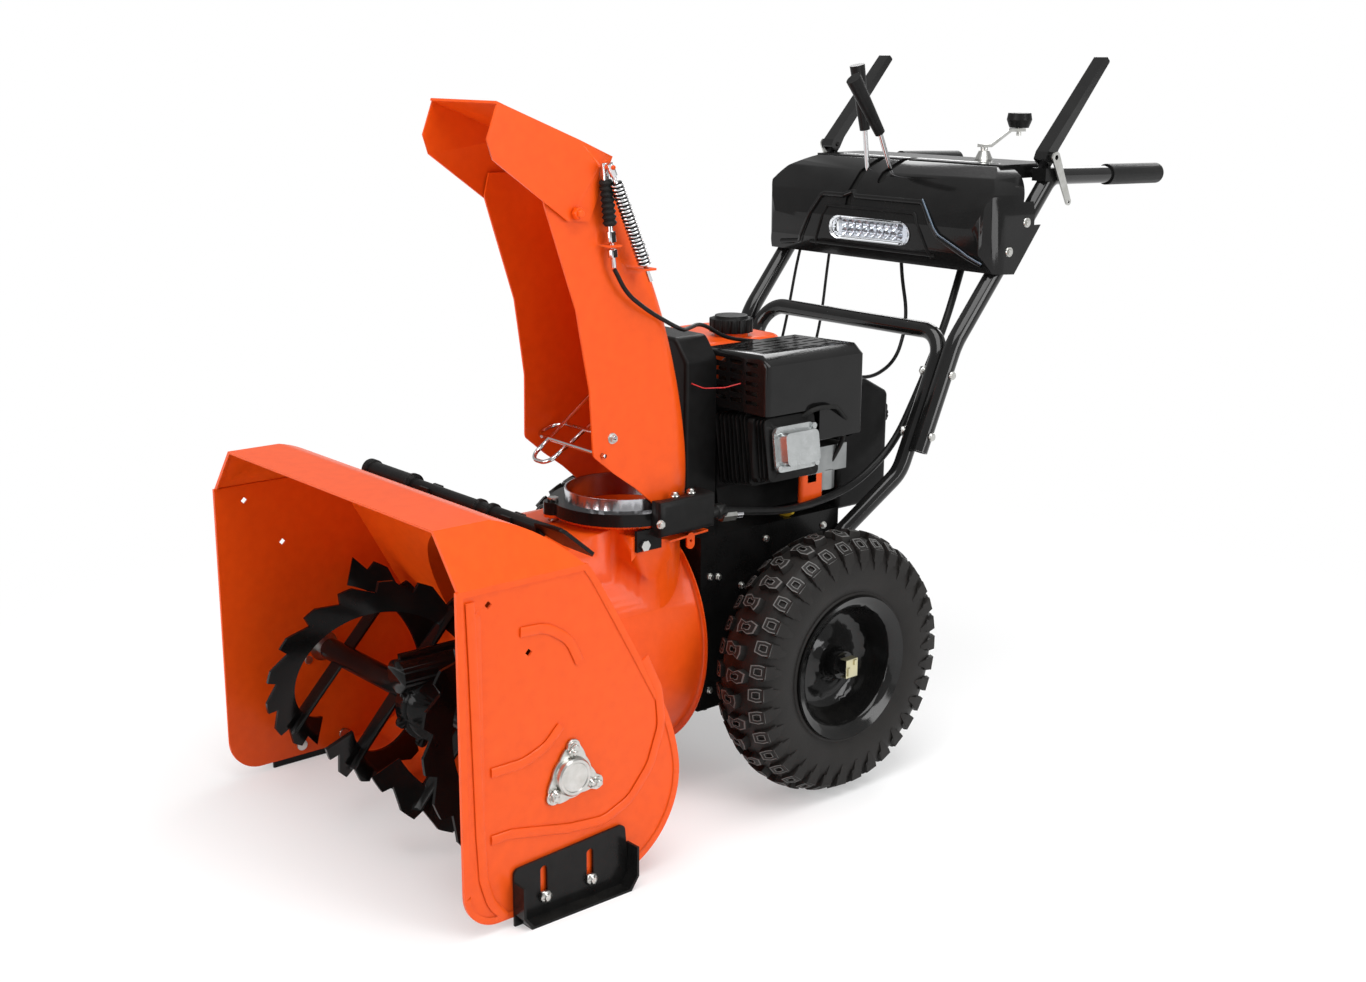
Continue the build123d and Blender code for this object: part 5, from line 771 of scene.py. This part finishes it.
def boxes(name, spots):
    """Plain blocks as one piece, each given by its middle and its three sizes."""
    bm = bmesh.new()
    for middle, sizes in spots:
        bmesh.ops.create_cube(bm, size=1.0, matrix=Matrix.Translation(middle) @ Matrix.Diagonal((*sizes, 1)))
    return placed(name, meshed(name, bm))


clip_zinc = coat("yellow zinc", (0.56, 0.52, 0.33), (0.5, 0.47, 0.33), 0.3, 0.5, metallic=0.9, scale=400.0)
clip_plates = [((0.3112, 0.3126), (-0.012, 0.012), (-0.014, 0.014)),
               ((0.300, 0.3126), (-0.012, 0.012), (0.0128, 0.0142)),
               ((0.300, 0.3126), (-0.012, 0.012), (-0.0142, -0.0128)),
               ((0.300, 0.3145), (0.0035, 0.009), (0.004, 0.012)),
               ((0.3112, 0.3146), (-0.009, -0.004), (-0.011, 0.002))]
clips = boxes("hub_clips", [((side * (x0 + x1) / 2, AXLE.y + (y0 + y1) / 2, AXLE.z + (z0 + z1) / 2),
                             (x1 - x0, y1 - y0, z1 - z0))
                            for side in (1, -1) for (x0, x1), (y0, y1), (z0, z1) in clip_plates])
rounded(clips, 0.0005)
hung(smoothed(settled(clips), 40), "wheels", "zinc", clip_zinc)

# Engine: a single slanted overhead-valve cylinder, cast in alloy and painted black, with
# a pressed zinc rocker cover held on by its bolts.

engine_black = coat(
    "engine black", 0.005, 0.008, 0.4, 0.65, level=0.12, scale=320.0, wave=40.0, share=0.7, depth=0.06,
    dust_height=0.9)
dressed("engine_block", "machine", "cast_alloy", engine_black)
dressed("cylinder_head", "machine", "cast_alloy", engine_black)
pressed_zinc = coat(
    "pressed zinc", (0.56, 0.58, 0.58), (0.46, 0.48, 0.48), 0.26, 0.45, metallic=0.9, scale=420.0,
    depth=0.03, scratch=0.4)
dressed("valve_cover", "machine", "zinc", pressed_zinc, 30, 0.0012)

# Carburettor: a small die-cast body with a brighter float bowl below, under a moulded
# heater cover with the choke's knob in it.

carb_alloy = coat(
    "carburettor alloy", (0.12, 0.12, 0.115), (0.08, 0.08, 0.078), 0.4, 0.6, metallic=0.7, scale=260.0,
    wave=40.0, share=0.7, depth=0.05, dusty=0.1)
carb = dressed("carburettor", "machine", "cast_alloy", carb_alloy, 30, 0.0006)
bowl_alloy = coat(
    "bowl alloy", (0.3, 0.31, 0.31), (0.22, 0.23, 0.23), 0.3, 0.5, metallic=0.85, wave=40.0, depth=0.04,
    dusty=0.1)
second_coat(carb, bowl_alloy, lambda at: at.z < 0.4975)
dressed("carb_cover", "machine", "black_plastic", black_plastic, 30, 0.002)
dressed("choke_knob", "choke", "black_plastic", black_plastic)

# Starter: a moulded fan housing with the starter's reel in it, and a rope to a moulded
# grip. The rope stretches between the two, as it does when it is drawn out.

dressed("fan_housing", "machine", "black_plastic", black_plastic, 30, 0.002)
dressed("recoil_handle", "starter", "black_plastic", black_plastic, 40, 0.002)
rope_path = [(-0.060, 0.098 + 0.022 * k / 30, 0.530) for k in range(31)]
rope = coated(swept("starter_rope", [rope_path], 0.0022, 0.001, rubber, 8), rubber)
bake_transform(rope)

# Small engine parts: the orange foot of the cooling shroud, the yellow dipstick, and the
# rubber-covered leads of the spark plug and of the stop switch.

foot_plates = [(-0.034, 0.012, 0.412, 0.464), (-0.028, 0.002, 0.440, 0.484)]
shroud = boxes("shroud_foot", [((0.166, (y0 + y1) / 2, (z0 + z1) / 2), (0.012, y1 - y0, z1 - z0))
                               for y0, y1, z0, z1 in foot_plates])
rounded(shroud, 0.006, 3)
hung(smoothed(settled(shroud)), "machine", "orange_paint", orange_paint)
dip_yellow = coat("dipstick yellow", (0.75, 0.52, 0.03), (0.66, 0.45, 0.03), 0.4, 0.6, scale=500.0)
stick = [(0.135, -0.045, 0.392), (0.150, -0.045, 0.396), (0.163, -0.045, 0.404)]
bars("dipstick", "machine", "black_plastic", [stick], 0.0045, 0.004, dip_yellow)
lead = [(0.196, -0.070, 0.556), (0.214, -0.050, 0.572), (0.216, -0.010, 0.570), (0.200, 0.030, 0.540),
        (0.178, 0.042, 0.500), (0.168, 0.030, 0.470)]
bars("ignition_lead", "machine", "rubber", [lead], 0.0035, 0.03, rubber)
red_wire = coat(
    "red wire", (0.6, 0.02, 0.02), (0.5, 0.02, 0.02), 0.4, 0.6, scale=800.0, wave=90.0, depth=0.01,
    dusty=0.0)
wire = [(0.0965, -0.190, 0.6075), (0.112, -0.180, 0.6015), (0.135, -0.160, 0.6035), (0.150, -0.142, 0.610)]
bars("stop_wire", "machine", "rubber", [wire], 0.0009, 0.02, red_wire, 6)

# Exhaust and tank: a heat-tinted muffler box inside a louvred gloss guard, and beside it
# the orange pressed tank with a ribbed black filler cap.

muffler_steel = coat(
    "heated steel", (0.2, 0.16, 0.12), (0.1, 0.09, 0.09), 0.45, 0.7, metallic=0.9, scale=120.0, wave=14.0,
    depth=0.04, dusty=0.2)
guard_paint = coat(
    "guard gloss black", 0.005, 0.007, 0.14, 0.35, level=0.2, gloss=0.1, scale=260.0, wave=24.0, depth=0.03,
    dusty=0.04)
dressed("muffler", "machine", "muffler_steel", muffler_steel)
dressed("muffler_guard", "machine", "black_paint", guard_paint, 30, 0.003)
dressed("fuel_tank", "machine", "orange_paint", orange_paint, 30, 0.004)
dressed("fuel_cap", "tank_cap", "black_plastic", black_plastic)

# Handles: 28 mm bent steel tube in gloss black, the lower U bolted to the frame and the
# upper pair spliced to it, with long tapered grips pushed on.

handle_paint = coat(
    "handle gloss black", 0.006, 0.009, 0.11, 0.35, level=0.3, gloss=0.2, scale=260.0, wave=30.0,
    dusty=0.04)
grip_rubber = coat(
    "grip rubber", 0.01, 0.014, 0.48, 0.7, level=0.15, scale=800.0, wave=90.0, share=0.8, depth=0.06,
    dusty=0.06)
dressed("lower_handle", "machine", "black_paint", handle_paint)
dressed("upper_handles", "machine", "black_paint", handle_paint)
dressed("hand_grips", "machine", "rubber", grip_rubber)
dressed("frame_bolts", "machine", "zinc", zinc)

# Dashboard: a glossy moulded hood across the handles with a flat console behind it, bolted
# to both tubes. A raised brow runs over the lamp, with a painted blue reflection along its left side.

dash_plastic = coat(
    "dashboard gloss black", 0.006, 0.009, 0.1, 0.3, level=0.16, gloss=0.12, scale=240.0, wave=20.0)
dressed("dashboard", "machine", "black_plastic", dash_plastic, 32, 0.002)
probe = gathered("dash_probe", "dashboard")
dash_shell = BVHTree.FromPolygons([v.co for v in probe.data.vertices],
                                  [tuple(f.vertices) for f in probe.data.polygons])
bpy.data.objects.remove(probe)


def on_face(x, z, proud=0.0):
    """The point of the dashboard's front at this width and height, `proud` metres off it."""
    spot, normal = dash_shell.ray_cast(Vector((x, 0.0, z)), Vector((0, 1, 0)))[:2]
    if spot is None:
        spot, normal = dash_shell.find_nearest(Vector((x, 0.3, z)))[:2]
    return tuple(spot + (normal if normal.y < 0 else -normal) * proud)


def face_line(points, proud=0.0):
    """Points close together along a line drawn on the dashboard's front."""
    line = []
    for (x0, z0), (x1, z1) in zip(points, points[1:]):
        steps = max(2, int(math.hypot(x1 - x0, z1 - z0) / 0.012))
        line += [on_face(x0 + (x1 - x0) * k / steps, z0 + (z1 - z0) * k / steps, proud) for k in range(steps)]
    return line + [on_face(*points[-1], proud)]


brow = face_line([(-0.215, 0.757), (-0.165, 0.762), (-0.112, 0.846),
                  (0.112, 0.846), (0.150, 0.795), (0.232, 0.757)])
frame_line = face_line([(-0.128, 0.760), (-0.096, 0.828), (0.100, 0.828), (0.132, 0.760)])
sill = face_line([(-0.140, 0.764), (0.140, 0.764)])
bars("dashboard_brow", "machine", "black_plastic", [brow], 0.0045, 0.012, dash_plastic, 12)
bars("lamp_surround", "machine", "black_plastic", [frame_line, sill], 0.0028, 0.008, black_plastic)
# a thin glossy blue bar along the brow's left side: a painted reflection, not a part of the hood
brow_reflection_paint = coat(
    "brow edge", (0.03, 0.07, 0.12), (0.02, 0.04, 0.07), 0.12, 0.3, gloss=0.8, scale=240.0, wave=20.0,
    depth=0.01, dusty=0.02)
reflection_line = face_line([(0.112, 0.850), (0.154, 0.799), (0.236, 0.761)], 0.0035)
bars("brow_edge", "machine", "black_plastic", [reflection_line], 0.0016, 0.01, brow_reflection_paint, 8)

# Headlight: a clear lens, fluted inside, in the face of the hood. Behind it is a silvered
# board with two rows of small cups, each with its own light chip.

lens = bpy.data.materials.new("clear lens")
lens.use_nodes = True
clear = lens.node_tree.nodes["Principled BSDF"]
clear.inputs["Base Color"].default_value = (0.95, 0.97, 1.0, 1)
clear.inputs["Transmission Weight"].default_value = 1.0
clear.inputs["Roughness"].default_value = 0.04
clear.inputs["IOR"].default_value = 1.2
spot = wired(lens.node_tree, "ShaderNodeTexCoord")
flute = wired(lens.node_tree, "ShaderNodeTexWave", bands_direction="X", links=[
    ("Vector", spot.outputs["Object"]), ("Scale", 60.0)])
ripple = wired(lens.node_tree, "ShaderNodeBump", links=[
    ("Height", flute.outputs["Color"]), ("Strength", 0.15), ("Distance", 0.0004)])
lens.node_tree.links.new(ripple.outputs[0], clear.inputs["Normal"])
dressed("headlight", "machine", "lens", lens)
silver = coat(
    "lamp reflector", (0.85, 0.87, 0.9), (0.75, 0.77, 0.8), 0.12, 0.25, metallic=0.8, wave=50.0, dusty=0.0)
cup_tree, size, out = shape_tree(
    "lamp cups", ("Columns", 8), ("Rows", 2), ("Width", 0.112), ("Height", 0.014), ("Cup", 0.006))
_grid = wired(cup_tree, "GeometryNodeMeshGrid", links=[
    ("Size X", size["Width"]), ("Size Y", size["Height"]), ("Vertices X", size["Columns"]),
    ("Vertices Y", size["Rows"])])
_neck = maths(cup_tree, "MULTIPLY", size["Cup"], 0.35)
_cup = cone(cup_tree, 14, _neck, size["Cup"], 0.005, fill_type="NONE")
_chip = wired(cup_tree, "GeometryNodeMeshIcoSphere", [("Radius", _neck), ("Subdivisions", 2)])
_lamp = wired(cup_tree, "GeometryNodeJoinGeometry")
cup_tree.links.new(_cup.outputs[0], _lamp.inputs[0])
cup_tree.links.new(_chip.outputs[0], _lamp.inputs[0])
_lamps = wired(cup_tree, "GeometryNodeInstanceOnPoints", [("Points", _grid), ("Instance", _lamp)])
closed(cup_tree, _lamps, size, out)
cups = grown("lamp_cups", cup_tree, bpy.data.meshes.new("start"), silver,
             Columns=8, Rows=2, Width=0.112, Height=0.014, Cup=0.0068)
cups.data.transform(Matrix.Translation((0.002, 0.2815, 0.794)) @ Matrix.Rotation(math.radians(90), 4, "X"))
hung(smoothed(cups, 40), "machine", "lens", silver)
board = boxes("lamp_board", [((0.002, 0.2845, 0.794), (0.150, 0.003, 0.030))])
hung(smoothed(board), "machine", "lens", silver)

# Shift slots: two slots run up the face and over the top of the hood. Each is closed below
# the skin by a pair of rubber strips that meet in the middle, where the lever goes through;
# the strips are also a dark backing that stands in for the shade inside the hood.

STRIP = [(0.0004, 0.0), (0.0115, 0.0), (0.0115, -0.0015), (0.0004, -0.0015)]
SLOT_EDGE = 0.013                       # just outside the slot's edge, from its middle
bm = bmesh.new()
for x, middle in ((-0.050, Vector((0, 0.335, 0.80))), (0.0, Vector((0, 0.359, 0.80)))):
    # feeling the skin from inside the hood, from the foot of its face over the top to the back
    under = []
    for k in range(25):
        turn = math.radians(172 - 4.6 * k)
        way = Vector((0, math.cos(turn), math.sin(turn)))
        left, right = [dash_shell.ray_cast(middle + Vector((x + side * SLOT_EDGE, 0, 0)), way)[0]
                       for side in (1, -1)]
        if left and right:
            under.append(((left + right) / 2 - way * 0.0012, way))
    for half in (-1, 1):
        row = [[bm.verts.new(p + way * t + Vector((half * w, 0, 0))) for w, t in STRIP] for p, way in under]
        for low, high in zip(row, row[1:]):
            for i in range(4):
                bm.faces.new((low[i], low[(i + 1) % 4], high[(i + 1) % 4], high[i]))
        bm.faces.new(row[0])
        bm.faces.new(row[-1])
bmesh.ops.recalc_face_normals(bm, faces=bm.faces)
hung(smoothed(placed("slot_strips", meshed("slot_strips", bm))), "machine", "rubber", rubber)
DASH_BOLTS = [(0.364, 0.820), (0.324, 0.777)]
bolts("dashboard_bolts", "machine", both_sides(0.2536, DASH_BOLTS), across=0.009, height=0.0035, flange=0.008)

# Levers and crank: two bent rods with moulded knobs shift the drive and the deflector, two
# painted clutch levers close on the grips, and a zinc crank with a turning knob aims the chute.

dressed("lever_brackets", "machine", "steel", black_paint)
knob_black = coat(
    "knob black", 0.008, 0.012, 0.34, 0.55, level=0.15, scale=600.0, share=0.8, depth=0.04, dusty=0.04)
for node, body, foot, rise in (("speed_lever", "gear_lever", (0.312, 0.952), (-0.023, 0.104)),
                               ("deflector_lever", "tilt_lever", (0.295, 0.949), (-0.066, 0.087))):
    lever = dressed(node, body, "chrome", chrome, 40, 0.0015)
    second_coat(lever, knob_black,
                lambda at: (at.y - foot[0]) * rise[0] + (at.z - foot[1]) * rise[1] > -0.0001)
for side in ("left", "right"):
    lever = dressed(f"{side}_clutch_lever", f"{side}_clutch", "black_paint", handle_paint, 30, 0.0035)
    second_coat(lever, zinc, lambda at: abs(at.x) > 0.2525)
dressed("chute_crank", "crank", "zinc", zinc, 32, 0.001)
dressed("crank_knob", "knob", "black_plastic", knob_black, 32, 0.003)

# Cables and clean-out tool: black sheathed cables from the levers to the frame, and the
# moulded shovel clipped along the housing roof.

sheath = coat("cable sheath", 0.006, 0.01, 0.35, 0.6, level=0.15, scale=900.0, wave=120.0)
dressed("control_cables", "machine", "rubber", sheath)
dressed("deflector_cable", "machine", "rubber", sheath)
dressed("tool_clips", "machine", "black_plastic", black_plastic)
dressed("cleanout_tool", "tool", "black_plastic", black_plastic)

# Studio: a seamless pale paper floor that fades to white, with big soft lamps above, to the
# left, in front and behind, and an even glow all round.

bm = bmesh.new()
bmesh.ops.create_grid(bm, x_segments=1, y_segments=1, size=40.0)
floor = placed("floor", meshed("floor", bm))
paper = bpy.data.materials.new("pale paper")
paper.use_nodes = True
tree = paper.node_tree
cover = tree.nodes["Principled BSDF"]
cover.inputs["Base Color"].default_value = (0.92, 0.92, 0.92, 1)
cover.inputs["Roughness"].default_value = 0.95
cover.inputs["Specular IOR Level"].default_value = 0.1
spot = wired(tree, "ShaderNodeTexCoord")
middle = wired(tree, "ShaderNodeMapping", [(0, spot.outputs["Object"]), ("Location", (0.0, 0.1, 0.0))])
reach = wired(tree, "ShaderNodeVectorMath", [(0, middle)], operation="LENGTH")
fade = ranged(tree, reach.outputs["Value"], 0.55, 1.7, 0.35, 1.0, interpolation_type="SMOOTHSTEP")
ray = wired(tree, "ShaderNodeLightPath")
seen = maths(tree, "MAXIMUM", ray.outputs["Is Camera Ray"], ray.outputs["Is Glossy Ray"])
seen = maths(tree, "MAXIMUM", seen, ray.outputs["Is Transmission Ray"])
share = maths(tree, "MULTIPLY", seen, fade)
white = wired(tree, "ShaderNodeEmission", [("Strength", 1.0)])
blend = wired(tree, "ShaderNodeMixShader", [(0, share), (1, cover), (2, white)])
tree.links.new(blend.outputs[0], tree.nodes["Material Output"].inputs[0])
floor.data.materials.append(paper)


def lamp(name, place, aim, size, power):
    """One soft rectangular lamp, turned to its aim."""
    light = bpy.data.lights.new(name, "AREA")
    light.shape = "RECTANGLE"
    light.size, light.size_y = size
    light.energy = power
    obj = bpy.data.objects.new(name, light)
    bpy.context.scene.collection.objects.link(obj)
    obj.location = place
    obj.rotation_euler = (Vector(aim) - Vector(place)).to_track_quat("-Z", "Y").to_euler()


lamp("lamp_over", (0.7, -0.5, 3.4), (0, 0, 0.4), (2.4, 3.0), 92)
lamp("lamp_left", (3.4, 0.6, 1.7), (0, 0, 0.5), (1.4, 2.4), 58)
lamp("lamp_front", (0.2, -4.0, 1.5), (0, -0.2, 0.5), (2.4, 1.8), 62)
lamp("lamp_back", (-1.6, 3.2, 2.4), (0, 0, 0.6), (2.6, 1.6), 55)
world = bpy.data.worlds.new("room")
world.use_nodes = True
tree = world.node_tree
room = tree.nodes["Background"]
ray = wired(tree, "ShaderNodeLightPath")
glow = ranged(tree, ray.outputs["Is Camera Ray"], to_low=0.42, to_high=1.0)
tree.links.new(glow.outputs[0], room.inputs[1])
room.inputs[0].default_value = (1, 1, 1, 1)
bpy.context.scene.world = world

# the camera stands ahead of the machine's left front corner, at about the dashboard's height
camera = bpy.data.objects.new("camera", bpy.data.cameras.new("camera"))
bpy.context.scene.collection.objects.link(camera)
azimuth, pitch, roll = math.radians(49.348), math.radians(14.428), math.radians(0.389)
back = Vector((math.sin(azimuth) * math.cos(pitch), -math.cos(azimuth) * math.cos(pitch), math.sin(pitch)))
side = Vector((math.cos(azimuth), math.sin(azimuth), 0))
rise = back.cross(side)
right = side * math.cos(roll) + rise * math.sin(roll)
up = rise * math.cos(roll) - side * math.sin(roll)
turned = Matrix((right, up, back)).transposed().to_4x4()
camera.matrix_world = Matrix.Translation((1.94276, -1.79021, 1.07454)) @ turned
camera.data.sensor_width = 36.0
FOCAL, ACROSS = 1706.4, 1366            # focal length and width of the view, both in dots
camera.data.lens = camera.data.sensor_width * FOCAL / ACROSS
bpy.context.scene.camera = camera
bpy.context.scene.view_settings.view_transform = "Standard"
